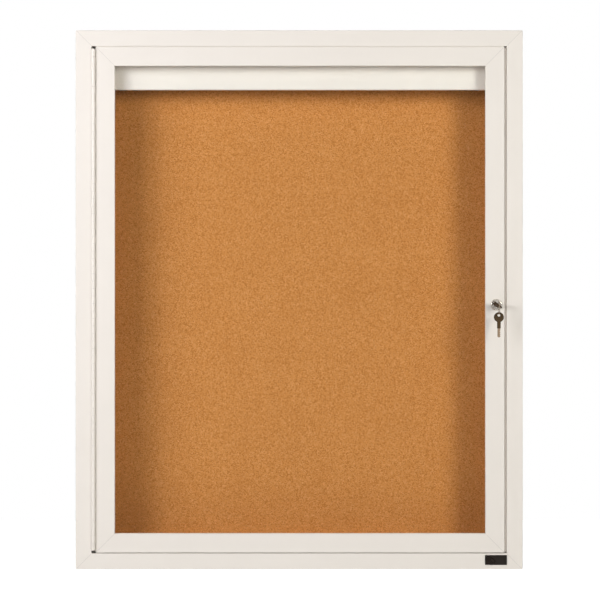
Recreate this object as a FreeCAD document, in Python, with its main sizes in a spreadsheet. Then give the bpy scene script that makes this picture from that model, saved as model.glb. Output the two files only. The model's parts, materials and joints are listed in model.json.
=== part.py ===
"""A wall-hung lockable notice board with a glazed door.

Millimetres, +Z up, +Y towards the wall. The origin is the middle of the wall fixings, in the wall's
plane. Depths are counted from the wall towards the room, so a depth is minus Y.
"""
import FreeCAD, Part
import os
import re

import Sketcher

# Sizes that can be set by themselves: name, value, meaning
SIZES = [
    ("cabinet_width", 760, "outside width of the cabinet frame"),
    ("cabinet_height", 916, "outside height of the cabinet frame"),
    ("cabinet_depth", 100, "wall to front face"),
    ("frame_face", 27, "visible width of the cabinet frame"),
    ("frame_wall", 2, "wall of the cabinet extrusion"),
    ("frame_round", 2.2, "rounding of the cabinet's corners"),
    ("frame_edge", 0.8, "rounding of the cabinet's front edge"),
    ("rebate_depth", 26, "front face to door stop"),
    ("stop_lip", 13, "how far the door stop stands into the opening"),
    ("ledge_width", 18, "outer face to the edge of the ledge over the cork"),
    ("flange_width", 20, "outer face to the edge of the flange behind the board"),
    ("board_thickness", 6, "hardboard back"),
    ("cork_thickness", 6.4, "cork sheet"),
    ("panel_slack", 0.3, "play of board and cork in their groove"),
    ("panel_edge_gap", 1, "edge of the board to the wall of the extrusion"),
    ("fixing_inset", 46, "outer face to a wall fixing, sideways"),
    ("fixing_drop", 118, "outer face to a wall fixing, up and down"),
    ("fixing_radius", 3.5, "hole for a wall screw"),
    ("washer_radius", 8, "hole in the cork for a wall screw's washer"),
    ("key_slack", 0.3, "play of a corner key in its extrusion"),
    ("key_lead", 3, "chamfer at the end of a corner key's leg"),
    ("frame_key_leg", 60, "leg of a cabinet corner key"),
    ("door_key_leg", 50, "leg of a door corner key"),
    ("lock_gap", 4, "gap between door and frame on the lock side"),
    ("lip_width", 3, "lip that closes most of that gap"),
    ("lip_depth", 4, "front face to the lip in the gap"),
    ("lip_thickness", 1.6, "lip in the gap"),
    ("door_gap", 1.2, "gap above and below the door"),
    ("door_face", 32.2, "visible width of the door frame"),
    ("door_depth", 22, "thickness of the door"),
    ("door_wall", 1.8, "wall of the door extrusion"),
    ("door_round", 0.8, "rounding of the door's corners"),
    ("door_edge", 0.6, "rounding of the door's front edge"),
    ("glass_lip", 7.2, "lip of the door frame over the glass"),
    ("glass_thickness", 3.2, "glass pane"),
    ("gasket_thickness", 1.5, "gasket on each face and on the edge of the glass"),
    ("gasket_set_in", 0.7, "gasket back from the lip's edge"),
    ("strip_gap", 0.3, "between the ends of two gasket or seal strips"),
    ("seal_width", 5.5, "foam strip on the door stop"),
    ("seal_gap", 0.3, "foam strip to the shut door"),
    ("pin_radius", 1.85, "hinge pin"),
    ("pin_clearance", 0.05, "hinge pin to knuckle"),
    ("pin_head_radius", 3, "peened end of the hinge pin"),
    ("pin_head_height", 1.2, "peened end of the hinge pin"),
    ("leaf_thickness", 1.6, "sheet of the hinge leaves"),
    ("leaf_width", 20, "pin to the far edge of a leaf"),
    ("hinge_proud", 1.5, "pin in front of the cabinet's face"),
    ("knuckle_length", 12.7, "one knuckle of the hinge"),
    ("knuckle_gap", 0.3, "play between knuckles, and round them"),
    ("rivet_radius", 1.6, "shank of a hinge rivet"),
    ("rivet_head_radius", 3.1, "head of a hinge rivet"),
    ("rivet_head_height", 1.1, "head of a hinge rivet"),
    ("rivet_depth", 11, "front face to the hinge rivets"),
    ("rivet_inset", 55, "end of the hinge to the first rivet"),
    ("rivet_count", 4, "rivets in each leaf"),
    ("hole_fit", 0.2, "rivet or screw to its hole"),
    ("lock_inset", 14, "door edge to the lock"),
    ("lock_down", 8.5, "middle of the door down to the lock"),
    ("barrel_round", 8, "radius of the lock barrel"),
    ("barrel_flat", 7.2, "lock's axis to the flats of its barrel"),
    ("lock_head_radius", 10.2, "head of the lock"),
    ("lock_head_height", 3, "head of the lock"),
    ("lock_head_edge", 1.2, "taper of the lock's head over its height"),
    ("nut_flats", 20, "across the flats of the lock nut"),
    ("nut_thickness", 3.5, "lock nut"),
    ("plug_radius", 5.6, "turning plug"),
    ("plug_clearance", 0.05, "plug to barrel"),
    ("plug_flange", 1, "flange of the plug over its radius"),
    ("plug_flange_height", 1.6, "flange of the plug"),
    ("plug_recess", 0.4, "plug's face behind the lock's face"),
    ("keyway_depth", 17, "slot for the key"),
    ("key_tilt", 40, "degrees that the keyway is turned from level"),
    ("key_clearance", 0.2, "key to keyway"),
    ("cam_gap", 0.6, "cam to the back of the door stop"),
    ("cam_play", 0.3, "cam to the end of the barrel"),
    ("cam_thickness", 2.4, "lock cam"),
    ("cam_width", 12, "lock cam"),
    ("cam_reach", 17, "lock's axis to the end of the cam"),
    ("cam_round", 3, "corners of the cam"),
    ("cam_square", 5.4, "square end of the plug"),
    ("cam_screw_radius", 1.9, "cam screw"),
    ("cam_screw_head", 4, "radius of the cam screw's head"),
    ("cam_screw_head_height", 2.2, "head of the cam screw"),
    ("cam_screw_length", 9, "shank of the cam screw"),
    ("lip_notch", 8, "notch in the door stop behind the lock"),
    ("notch_margin", 2, "end of the notch to the cam"),
    ("blade_width", 4.8, "blade of a key"),
    ("blade_thickness", 1.7, "blade of a key"),
    ("blade_length", 15, "blade of a key"),
    ("blade_point", 1.4, "chamfer at the tip of a key"),
    ("bit_depth", 1.1, "cut in the blade of a key"),
    ("bit_pitch", 3.2, "between the cuts in the blade of a key"),
    ("tang_width", 4, "blade inside the bow of a key"),
    ("tang_length", 10, "blade inside the bow of a key"),
    ("neck_width", 6, "neck of a key's bow"),
    ("shoulder_to_bow", 18.9, "shoulder of a key to the middle of its bow"),
    ("bow_radius", 8.4, "bow of a key"),
    ("bow_thickness", 2.5, "bow of a key"),
    ("key_hole_offset", 3.2, "middle of the bow to its hole"),
    ("key_hole_radius", 2.5, "hole in the bow"),
    ("key_stand_off", 0.5, "face of the lock to the shoulder of its key"),
    ("ring_radius", 11, "middle line of the key ring"),
    ("ring_wire", 0.6, "half the width of the ring's flat wire"),
    ("ring_drop", 5, "middle of the ring below the hole that holds it"),
    ("ring_play", 0.4, "hanging key to the wire that holds it"),
    ("valance_drop", 96, "inside of the cabinet's top down to the valance's edge"),
    ("valance_sheet", 1.2, "sheet of the valance"),
    ("valance_hem", 5, "hem along the valance's lower edge"),
    ("valance_bend", 0.8, "inside radius of the hem's bend"),
    ("valance_end_gap", 1, "end of the valance to the cabinet"),
    ("valance_screw_inset", 80, "outer face to the first valance screw"),
    ("valance_screw_count", 4, "valance screws"),
    ("valance_screw_length", 9, "shank of a valance screw"),
    ("batten_back", 26, "wall to the back of the lamp batten"),
    ("batten_width", 36, "lamp batten"),
    ("batten_height", 42, "lamp batten"),
    ("batten_sheet", 1, "sheet of the batten"),
    ("batten_overhang", 29, "end of the lamp to the end of the batten"),
    ("batten_screw_inset", 80, "end of the batten to its screw"),
    ("screw_short", 0.2, "batten screw short of the cabinet's outer face"),
    ("ballast_length", 180, "ballast in the batten"),
    ("ballast_width", 28, "ballast in the batten"),
    ("ballast_height", 26, "ballast in the batten"),
    ("ballast_edge", 2, "chamfers of the ballast"),
    ("lamp_drop", 33.5, "underside of the batten down to the lamp's axis"),
    ("lamp_length", 582, "lamp between its holders"),
    ("lamp_radius", 12.7, "glass of the lamp"),
    ("lamp_cap_radius", 13, "metal end of the lamp"),
    ("lamp_cap_length", 18, "metal end of the lamp"),
    ("lamp_clearance", 0.4, "lamp to the bore of its end housing"),
    ("lamp_pin_radius", 1.2, "contact pin of the lamp"),
    ("lamp_pin_offset", 6.35, "lamp's axis to a contact pin"),
    ("lamp_pin_length", 6, "contact pin of the lamp"),
    ("holder_thickness", 8, "lamp holder"),
    ("holder_half_width", 17, "lamp holder"),
    ("holder_round", 12, "lower corners of a lamp holder"),
    ("housing_length", 14, "end housing on each side of a lamp holder"),
    ("housing_half_width", 16, "end housing"),
    ("housing_drop", 16.7, "lamp's axis to the underside of the end housing"),
    ("housing_round", 3, "lower corners of the end housing"),
    ("small_screw_radius", 1.5, "shank of the small screws"),
    ("small_head_radius", 3, "head of the small screws"),
    ("small_head_height", 1.8, "head of the small screws"),
    ("entry_inset", 35, "outer face to the cable entry, sideways"),
    ("entry_drop", 36, "outer face down to the cable entry"),
    ("entry_radius", 5, "bore of the cable entry"),
    ("grommet_neck", 7.5, "radius of the grommet in the panel"),
    ("grommet_flange", 10.5, "radius of the grommet's flanges"),
    ("grommet_lip", 1.4, "thickness of the grommet's flanges"),
]

# Sizes and places that follow from those above
RULES = {
    "half_width": "cabinet_width / 2",
    "half_height": "cabinet_height / 2",
    "inside_top": "half_height - frame_wall",
    "cork_back": "frame_wall + board_thickness",
    "cork_front": "cork_back + cork_thickness",
    "ledge_back": "cork_front + panel_slack",
    "ledge_front": "ledge_back + frame_wall",
    "stop_front": "cabinet_depth - rebate_depth",
    "stop_back": "stop_front - frame_wall",
    "fixing_across": "half_width - fixing_inset",
    "fixing_up": "half_height - fixing_drop",
    "entry_across": "half_width - entry_inset",
    "entry_up": "half_height - entry_drop",
    "panel_half_width": "half_width - frame_wall - panel_edge_gap",
    "panel_half_height": "half_height - frame_wall - panel_edge_gap",
    "opening_half_width": "half_width - frame_face",
    "opening_half_height": "half_height - frame_face",
    "stop_half_width": "opening_half_width - stop_lip",
    "stop_half_height": "opening_half_height - stop_lip",
    "knuckle_radius": "pin_radius + pin_clearance + leaf_thickness",
    "hinge_gap": "2 * knuckle_radius",
    "door_left": "hinge_gap - opening_half_width",
    "door_right": "opening_half_width - lock_gap",
    "door_middle": "(door_left + door_right) / 2",
    "door_half_width": "(door_right - door_left) / 2",
    "door_half_height": "opening_half_height - door_gap",
    "door_back": "cabinet_depth - door_depth",
    "groove_front": "cabinet_depth - door_wall",
    "glass_front": "groove_front - gasket_thickness",
    "glass_back": "glass_front - glass_thickness",
    "groove_back": "glass_back - gasket_thickness",
    "groove_inset": "door_face - glass_lip",
    "glass_inset": "groove_inset + gasket_thickness",
    "gasket_inset": "door_face - gasket_set_in",
    "pin_across": "knuckle_radius - opening_half_width",
    "pin_depth": "cabinet_depth + hinge_proud",
    "knuckle_pairs": "floor((2 * door_half_height / knuckle_length - 1) / 2)",
    "hinge_length": "(2 * knuckle_pairs + 1) * knuckle_length",
    "rivet_span": "hinge_length - 2 * rivet_inset",
    "rivet_from_pin": "hinge_proud + rivet_depth",
    "lock_across": "door_right - lock_inset",
    "lock_face": "cabinet_depth + lock_head_height",
    "plug_face": "lock_face - plug_recess",
    "plug_shoulder": "plug_face - plug_flange_height",
    "cam_front": "stop_back - cam_gap",
    "cam_back": "cam_front - cam_thickness",
    "barrel_back": "cam_front + cam_play",
    "notch_low": "0 - lock_down - cam_reach - notch_margin",
    "notch_high": "0 - lock_down + cam_reach + notch_margin",
    "key_depth": "lock_face + key_stand_off",
    "key_hole_reach": "shoulder_to_bow + key_hole_offset",
    "ring_depth": "key_depth + key_hole_reach + sqrt(ring_radius * ring_radius - ring_drop * ring_drop)",
    "ring_up": "0 - lock_down - ring_drop",
    "hanging_hole_up": "ring_up - ring_radius - key_hole_radius + ring_wire + ring_play",
    "valance_front": "stop_back",
    "valance_back": "valance_front - valance_sheet",
    "valance_low": "inside_top - valance_drop",
    "valance_curve": "valance_sheet + valance_bend",
    "batten_low": "inside_top - batten_height",
    "lamp_depth": "batten_back + batten_width / 2",
    "lamp_up": "batten_low - lamp_drop",
    "lamp_end": "lamp_length / 2",
    "holder_end": "lamp_end + holder_thickness",
    "valance_screw_up": "half_height - frame_face / 2",
    "valance_screw_span": "cabinet_width - 2 * valance_screw_inset",
    "batten_length": "lamp_length + 2 * batten_overhang",
    "batten_screw_span": "batten_length - 2 * batten_screw_inset",
}

# Flats of small round things
SHANK_SIDES = 6
HEAD_SIDES = 8
KNUCKLE_SIDES = 10
PIN_SIDES = 12
NUT_BORE_SIDES = 16
GROMMET_SIDES = 18
BORE_SIDES = 24
RING_SIDES = 28

doc = FreeCAD.newDocument("NoticeBoard")
sheet = doc.addObject("Spreadsheet::Sheet", "Sizes")
CELLS = {name for name, _, _ in SIZES}
PARTS = []


def fill_sheet():
    """Write each size into the sheet, with its name as the cell's alias."""
    for row, (name, value, meaning) in enumerate(SIZES, start=1):
        sheet.set(f"A{row}", name)
        sheet.set(f"B{row}", str(value))
        sheet.set(f"C{row}", meaning)
        sheet.setAlias(f"B{row}", name)
    doc.recompute()


def in_cells(rule):
    """Write a rule out in cells of the sheet."""
    def one_word(match):
        word = match.group(0)
        if word in RULES:
            return "(" + in_cells(RULES[word]) + ")"
        return "Sizes." + word if word in CELLS else word
    return re.sub(r"[a-z]\w*", one_word, str(rule))


def size(rule):
    """The number that a rule gives now."""
    return float(sheet.evalExpression(in_cells(rule)))


def bind(item, prop, rule):
    item.setExpression(prop, in_cells(rule))


def times(sign, rule):
    return f"({sign}) * ({rule})"


def new_body(label):
    """A sub-part, which goes to the file of this name."""
    body = doc.addObject("PartDesign::Body", label)
    body.Label = label
    PARTS.append(body)
    return body


def place(item, across="0", depth="0", up="0", axis=(0, 0, 1), turn=0, roll=0):
    """Turn an item about an axis, roll it about the way to the wall and move it by rules."""
    rolled = FreeCAD.Rotation(FreeCAD.Vector(0, 1, 0), roll)
    rotation = rolled.multiply(FreeCAD.Rotation(FreeCAD.Vector(*axis), turn))
    item.Placement = FreeCAD.Placement(FreeCAD.Vector(), rotation)
    bind(item, "Placement.Base.x", across)
    bind(item, "Placement.Base.y", f"0 - ({depth})")
    bind(item, "Placement.Base.z", up)


def origin_part(body, role):
    return next(item for item in body.Origin.OriginFeatures if item.Role == role)


def new_sketch(body, name, plane, rise="0"):
    """A sketch on one of the body's own planes. On the XZ plane its rise is the depth."""
    sketch = body.newObject("Sketcher::SketchObject", name)
    sketch.AttachmentSupport = [(origin_part(body, plane), "")]
    sketch.MapMode = "FlatFace"
    bind(sketch, "AttachmentOffset.Base.z", rise)
    return sketch


def pinned(item, end, across, up):
    """Constraints that hold a point of the sketch at two rules."""
    return [
        (Sketcher.Constraint("DistanceX", -1, 1, item, end, size(across)), across),
        (Sketcher.Constraint("DistanceY", -1, 1, item, end, size(up)), up),
    ]


def add_constraints(sketch, constraints):
    for constraint, rule in constraints:
        index = sketch.addConstraint(constraint)
        if rule is not None:
            sketch.setExpression(f"Constraints[{index}]", in_cells(rule))


def arc_between(start, end, radius):
    """The shorter arc that bulges to the right of the way from start to end."""
    chord = end - start
    sideways = FreeCAD.Vector(chord.y, -chord.x, 0).normalize()
    height = max(radius * radius - chord.Length * chord.Length / 4, 0) ** 0.5
    crown = (start + end) / 2 + sideways * (radius - height)
    return Part.Arc(start, crown, end)


def draw_outline(sketch, corners):
    """Draw a closed loop through corners given as rules, across and up.

    A third rule makes the edge that starts at this corner an arc of that radius, which bulges out
    of the loop, or into it with "hollow" as the fourth entry.
    """
    first = sketch.GeometryCount
    starts = [FreeCAD.Vector(size(corner[0]), size(corner[1]), 0) for corner in corners]
    stops = starts[1:] + starts[:1]
    area = sum(start.x * stop.y - stop.x * start.y for start, stop in zip(starts, stops))
    constraints = []
    ends = []
    for index, (corner, start, stop) in enumerate(zip(corners, starts, stops)):
        if len(corner) == 2:
            sketch.addGeometry(Part.LineSegment(start, stop), False)
            ends.append((1, 2))
            continue
        outwards = corner[3:] != ("hollow",)
        onwards = outwards == (area > 0)
        arc = arc_between(start, stop, size(corner[2])) if onwards else arc_between(stop, start, size(corner[2]))
        sketch.addGeometry(arc, False)
        ends.append((1, 2) if onwards else (2, 1))
        constraints.append((Sketcher.Constraint("Radius", first + index, size(corner[2])), corner[2]))
    for index in range(len(corners)):
        after = (index + 1) % len(corners)
        joint = Sketcher.Constraint("Coincident", first + index, ends[index][1], first + after, ends[after][0])
        constraints.append((joint, None))
    for index, corner in enumerate(corners):
        constraints += pinned(first + index, ends[index][0], corner[0], corner[1])
    add_constraints(sketch, constraints)


def draw_box(sketch, left, right, low, high):
    draw_outline(sketch, [(left, low), (right, low), (right, high), (left, high)])


def draw_circle(sketch, across, up, radius):
    centre = FreeCAD.Vector(size(across), size(up), 0)
    item = sketch.addGeometry(Part.Circle(centre, FreeCAD.Vector(0, 0, 1), size(radius)), False)
    constraints = [(Sketcher.Constraint("Radius", item, size(radius)), radius)]
    add_constraints(sketch, constraints + pinned(item, 3, across, up))


def polygon(across, up, flat, sides):
    """A regular polygon with its flats at one distance from its middle, the first to the right.

    Small round things that repeat are drawn with few flats.
    """
    half = 180 / sides
    reach = f"({flat}) / cos({half})"
    return [(f"{across} + {reach} * cos({angle})", f"{up} + {reach} * sin({angle})")
            for angle in (half * (2 * corner - 1) for corner in range(sides))]


def add_pad(body, sketch, length, symmetric=False, reverse=False):
    pad = body.newObject("PartDesign::Pad", sketch.Name + "Pad")
    pad.Profile = sketch
    pad.SideType = "Symmetric" if symmetric else "One side"
    pad.Reversed = reverse
    bind(pad, "Length", length)
    return pad


def add_drum(body, plane, rise, centre, flat, sides, length, reverse=False):
    """A prism on a regular polygon."""
    sketch = new_sketch(body, "Drum", plane, rise)
    draw_outline(sketch, polygon(*centre, flat, sides))
    return add_pad(body, sketch, length, reverse=reverse)


def add_cut(body, sketch, length, symmetric=False, onwards=False):
    """Cut a sketch away behind its plane, or in front of it with onwards."""
    pocket = body.newObject("PartDesign::Pocket", sketch.Name + "Cut")
    pocket.Profile = sketch
    pocket.SideType = "Symmetric" if symmetric else "One side"
    pocket.Reversed = onwards
    bind(pocket, "Length", length)
    return pocket


def add_turning(body, corners, axis, plane="XY_Plane"):
    """Revolve an outline about an axis of its sketch."""
    sketch = new_sketch(body, "Turning", plane)
    draw_outline(sketch, corners)
    turning = body.newObject("PartDesign::Revolution", sketch.Name + "Turned")
    turning.Profile = sketch
    turning.ReferenceAxis = (sketch, [axis])
    turning.Angle = 360
    return turning


def add_row(body, features, axis, span, count):
    """Repeat features along one of the body's own axes."""
    row = body.newObject("PartDesign::LinearPattern", features[-1].Name + "Row")
    row.Originals = features
    row.Direction = (origin_part(body, axis), [""])
    bind(row, "Length", span)
    bind(row, "Occurrences", count)
    body.Tip = row
    return row


def add_mirror(body, features, plane):
    mirror = body.newObject("PartDesign::Mirrored", features[-1].Name + "Mirror")
    mirror.Originals = features
    mirror.MirrorPlane = (origin_part(body, plane), [""])
    body.Tip = mirror
    return mirror


def backwards(corners):
    """Corners given as across and depth, for a sketch whose upward axis runs to the wall."""
    return [(corner[0], f"0 - ({corner[1]})") + tuple(corner[2:]) for corner in corners]


# Mitred extrusions, drawn as (distance inwards from the outer face, depth)
FRAME_SECTION = [
    ("0", "0"),
    ("0", "cabinet_depth - frame_edge", "frame_edge"),
    ("frame_edge", "cabinet_depth"),
    ("frame_face", "cabinet_depth"),
    ("frame_face", "stop_front"),
    ("frame_face + stop_lip", "stop_front"),
    ("frame_face + stop_lip", "stop_back"),
    ("frame_wall", "stop_back"),
    ("frame_wall", "ledge_front"),
    ("ledge_width", "ledge_front"),
    ("ledge_width", "ledge_back"),
    ("frame_wall", "ledge_back"),
    ("frame_wall", "frame_wall"),
    ("flange_width", "frame_wall"),
    ("flange_width", "0"),
]
LOCK_SIDE_LIP = [
    ("frame_face", "cabinet_depth - lip_depth"),
    ("frame_face + lip_width", "cabinet_depth - lip_depth"),
    ("frame_face + lip_width", "cabinet_depth - lip_depth - lip_thickness"),
    ("frame_face", "cabinet_depth - lip_depth - lip_thickness"),
]
FRAME_HOLLOW = [
    ("frame_wall", "stop_front"),
    ("frame_wall", "cabinet_depth - frame_wall"),
    ("frame_face - frame_wall", "cabinet_depth - frame_wall"),
    ("frame_face - frame_wall", "stop_front"),
]
DOOR_SECTION = [
    ("0", "door_back"),
    ("0", "cabinet_depth - door_edge", "door_edge"),
    ("door_edge", "cabinet_depth"),
    ("door_face", "cabinet_depth"),
    ("door_face", "groove_front"),
    ("groove_inset", "groove_front"),
    ("groove_inset", "groove_back"),
    ("door_face", "groove_back"),
    ("door_face", "groove_back - door_wall"),
    ("groove_inset", "groove_back - door_wall"),
    ("groove_inset", "door_back"),
]
DOOR_HOLLOW = [
    ("door_wall", "door_back + door_wall"),
    ("door_wall", "groove_front"),
    ("groove_inset - door_wall", "groove_front"),
    ("groove_inset - door_wall", "door_back + door_wall"),
]
# A mitred frame: section, hollow, half width, half height, section's width, corner rounding, middle
CABINET = (FRAME_SECTION, FRAME_HOLLOW, "half_width", "half_height", "frame_face + stop_lip", "frame_round", "0")
LOCK_SIDE = (FRAME_SECTION[:4] + LOCK_SIDE_LIP + FRAME_SECTION[4:],) + CABINET[1:]
DOOR = (DOOR_SECTION, DOOR_HOLLOW, "door_half_width", "door_half_height", "door_face", "door_round", "door_middle")


def mitre_corners(reach, run, width, radius, sign):
    """What one end of a member loses: a mitre and its half of the frame's rounded corner."""
    corner_in = f"{radius} * (1 - sqrt(0.5))"
    corners = [
        (f"{reach} - ({width}) - 2", f"{run} - ({width}) - 2"),
        (f"{reach} - {corner_in}", f"{run} - {corner_in}", radius, "hollow"),
        (reach, f"{run} - {radius}"),
        (f"{reach} + 2", f"{run} - {radius}"),
        (f"{reach} + 2", f"{run} + 2"),
        (f"{reach} - ({width}) - 2", f"{run} + 2"),
    ]
    return [(corner[0], times(sign, corner[1])) + tuple(corner[2:]) for corner in corners]


def new_member(label, frame, side):
    """A mitred member of a frame. It is made as the right-hand one and turned into its place."""
    section, hollow, half_width, half_height, width, radius, middle = frame
    reach, run = (half_width, half_height) if side in ("left", "right") else (half_height, half_width)
    body = new_body(label)
    profile = new_sketch(body, "Section", "XY_Plane")
    for loop in (section, hollow):
        draw_outline(profile, backwards([(f"{reach} - ({point[0]})",) + point[1:] for point in loop]))
    add_pad(body, profile, f"2 * {run}", symmetric=True)
    ends = new_sketch(body, "Ends", "XZ_Plane")
    for sign in (1, -1):
        draw_outline(ends, mitre_corners(reach, run, width, radius, sign))
    add_cut(body, ends, "3 * cabinet_depth", symmetric=True)
    turn = {"right": 0, "top": -90, "left": 180, "bottom": 90}[side]
    place(body, across=middle, axis=(0, 1, 0), turn=turn)
    return body


def cut_hole_row(body, plane, rise, wall, start, radius, axis, span, count):
    """A row of holes through a wall whose middle lies at the rise."""
    sketch = new_sketch(body, "Hole", plane, rise)
    draw_outline(sketch, polygon(*start, radius, SHANK_SIDES))
    hole = add_cut(body, sketch, f"{wall} + 1", symmetric=True)
    add_row(body, [hole], axis, span, count)


def cut_rivet_holes(body, wall_middle, wall):
    start = ("rivet_depth - cabinet_depth", "0 - rivet_span / 2")
    cut_hole_row(body, "YZ_Plane", wall_middle, wall, start, "rivet_radius + hole_fit",
                 "Z_Axis", "rivet_span", "rivet_count")


def build_cabinet_frame():
    # The rail is made standing on end, its outer face to +X and its right-hand end downwards
    top = new_member("cabinet_top_rail", CABINET, "top")
    cut_hole_row(top, "XZ_Plane", "stop_back + frame_wall / 2", "frame_wall",
                 ("valance_screw_up", "0 - valance_screw_span / 2"), "small_screw_radius + hole_fit",
                 "Z_Axis", "valance_screw_span", "valance_screw_count")
    cut_hole_row(top, "YZ_Plane", "half_height - frame_wall / 2", "frame_wall",
                 ("0 - lamp_depth", "0 - batten_screw_span / 2"), "small_screw_radius + hole_fit",
                 "Z_Axis", "batten_screw_span", 2)
    new_member("cabinet_bottom_rail", CABINET, "bottom")
    left = new_member("cabinet_left_stile", CABINET, "left")
    cut_rivet_holes(left, "opening_half_width + frame_wall / 2", "frame_wall")
    right = new_member("cabinet_right_stile", LOCK_SIDE, "right")
    notch = new_sketch(right, "LipNotch", "XZ_Plane", "stop_front")
    draw_box(notch, "stop_half_width - 1", "stop_half_width + lip_notch", "notch_low", "notch_high")
    add_cut(right, notch, "frame_wall")


def barrel_outline(across, up):
    """The hole for the lock's barrel with its two flats."""
    flat = "(barrel_flat + hole_fit)"
    radius = "(barrel_round + hole_fit)"
    rise = f"sqrt({radius} * {radius} - {flat} * {flat})"
    return [
        (f"{across} + {flat}", f"{up} - {rise}"),
        (f"{across} + {flat}", f"{up} + {rise}", radius),
        (f"{across} - {flat}", f"{up} + {rise}"),
        (f"{across} - {flat}", f"{up} - {rise}", radius),
    ]


def build_door_frame():
    new_member("door_top_rail", DOOR, "top")
    new_member("door_bottom_rail", DOOR, "bottom")
    left = new_member("door_left_stile", DOOR, "left")
    cut_rivet_holes(left, "door_half_width - door_wall / 2", "door_wall")
    right = new_member("door_right_stile", DOOR, "right")
    bore = new_sketch(right, "LockHole", "XZ_Plane", "cabinet_depth")
    draw_outline(bore, barrel_outline("door_half_width - lock_inset", "0 - lock_down"))
    add_cut(right, bore, "door_depth")


def build_corner_keys(label, half_width, half_height, wall, hollow_end, back, front, leg, middle):
    """Four L-shaped keys in the hollows of a mitred frame."""
    body = new_body(label)
    sketch = new_sketch(body, "Keys", "XZ_Plane", f"{back} + key_slack")
    outer = f"{wall} + key_slack"
    inner = f"{hollow_end} - key_slack"
    arm = f"{wall} + {leg}"
    corners = [
        (outer, outer),
        (f"{arm} - key_lead", outer),
        (arm, f"{outer} + key_lead"),
        (arm, f"{inner} - key_lead"),
        (f"{arm} - key_lead", inner),
        (inner, inner),
        (inner, f"{arm} - key_lead"),
        (f"{inner} - key_lead", arm),
        (f"{outer} + key_lead", arm),
        (outer, f"{arm} - key_lead"),
    ]
    for across in (1, -1):
        for up in (1, -1):
            loop = [(times(across, f"{half_width} - ({inwards})"), times(up, f"{half_height} - ({down})"))
                    for inwards, down in corners]
            draw_outline(sketch, loop)
    add_pad(body, sketch, f"{front} - ({back}) - 2 * key_slack")
    place(body, across=middle)


def build_panel():
    corners = [(times(across, "fixing_across"), times(up, "fixing_up")) for across in (1, -1) for up in (1, -1)]
    for label, back, thickness in (("backing_board", "frame_wall", "board_thickness"),
                                   ("cork_sheet", "cork_back", "cork_thickness")):
        body = new_body(label)
        sketch = new_sketch(body, "Sheet", "XZ_Plane", back)
        draw_box(sketch, "0 - panel_half_width", "panel_half_width", "0 - panel_half_height", "panel_half_height")
        for across, up in corners:
            if label == "backing_board":
                draw_circle(sketch, across, up, "fixing_radius")
            else:
                draw_outline(sketch, polygon(across, up, "washer_radius", HEAD_SIDES))
        draw_outline(sketch, polygon("entry_across", "entry_up", "grommet_neck", GROMMET_SIDES))
        add_pad(body, sketch, thickness)


def build_door_seal():
    body = new_body("door_seal")
    sketch = new_sketch(body, "Strips", "XZ_Plane", "stop_front")
    outer = "stop_half_width + seal_width"
    top = "stop_half_height + seal_width"
    draw_box(sketch, f"0 - ({outer})", "0 - stop_half_width", f"0 - ({top})", top)
    draw_box(sketch, "stop_half_width", outer, f"0 - ({top})", "notch_low")
    draw_box(sketch, "stop_half_width", outer, "notch_high", top)
    inner = "(stop_half_width - strip_gap)"
    for sign in (1, -1):
        draw_box(sketch, f"0 - {inner}", inner, times(sign, "stop_half_height"), times(sign, top))
    add_pad(body, sketch, "door_back - seal_gap - stop_front")


def build_glazing():
    gasket = new_body("glazing_gasket")
    sketch = new_sketch(gasket, "Strips", "XZ_Plane", "groove_back")
    across = "(door_half_width - gasket_inset - strip_gap)"
    for sign in (1, -1):
        draw_box(sketch, times(sign, "door_half_width - gasket_inset"),
                 times(sign, "door_half_width - groove_inset"),
                 "groove_inset - door_half_height", "door_half_height - groove_inset")
        draw_box(sketch, f"0 - {across}", across,
                 times(sign, "door_half_height - gasket_inset"),
                 times(sign, "door_half_height - groove_inset"))
    add_pad(gasket, sketch, "groove_front - groove_back")
    pane = ("glass_inset - door_half_width", "door_half_width - glass_inset",
            "glass_inset - door_half_height", "door_half_height - glass_inset")
    slot = new_sketch(gasket, "Slot", "XZ_Plane", "glass_front")
    draw_box(slot, *pane)
    add_cut(gasket, slot, "glass_thickness")
    place(gasket, across="door_middle")
    glass = new_body("glass_pane")
    outline = new_sketch(glass, "Pane", "XZ_Plane", "glass_back")
    draw_box(outline, *pane)
    add_pad(glass, outline, "glass_thickness")
    place(glass, across="door_middle")


def build_leaf(label, side, first_notch, notch_count):
    """A hinge leaf about the pin's axis, its plate to one side and its knuckles cut from a roll."""
    body = new_body(label)
    plate = new_sketch(body, "Plate", "XY_Plane")
    draw_box(plate, times(side, "knuckle_radius"), times(side, "knuckle_radius - leaf_thickness"),
             "0", "leaf_width")
    add_pad(body, plate, "hinge_length", symmetric=True)
    roll = new_sketch(body, "Roll", "XY_Plane")
    draw_outline(roll, polygon("0", "0", "knuckle_radius", KNUCKLE_SIDES))
    add_pad(body, roll, "hinge_length", symmetric=True)
    bore = new_sketch(body, "Bore", "XY_Plane")
    draw_outline(bore, polygon("0", "0", "pin_radius + pin_clearance", SHANK_SIDES))
    add_cut(body, bore, "hinge_length", symmetric=True)
    # A notch holds the other leaf's knuckle and half a gap at each end of it
    start = f"knuckle_length * {first_notch} - (hinge_length + knuckle_gap) / 2"
    notch = new_sketch(body, "Notch", "XY_Plane", start)
    draw_box(notch, "0 - knuckle_radius - 1", "knuckle_radius + 1",
             "0 - knuckle_radius - 1", "knuckle_radius + knuckle_gap")
    cut = add_cut(body, notch, "knuckle_length + knuckle_gap", onwards=True)
    add_row(body, [cut], "Z_Axis", f"2 * knuckle_length * ({notch_count} - 1)", notch_count)
    cut_hole_row(body, "YZ_Plane", times(side, "knuckle_radius - leaf_thickness / 2"), "leaf_thickness",
                 ("rivet_from_pin", "0 - rivet_span / 2"), "rivet_radius + hole_fit",
                 "Z_Axis", "rivet_span", "rivet_count")
    place(body, across="pin_across", depth="pin_depth")


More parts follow.
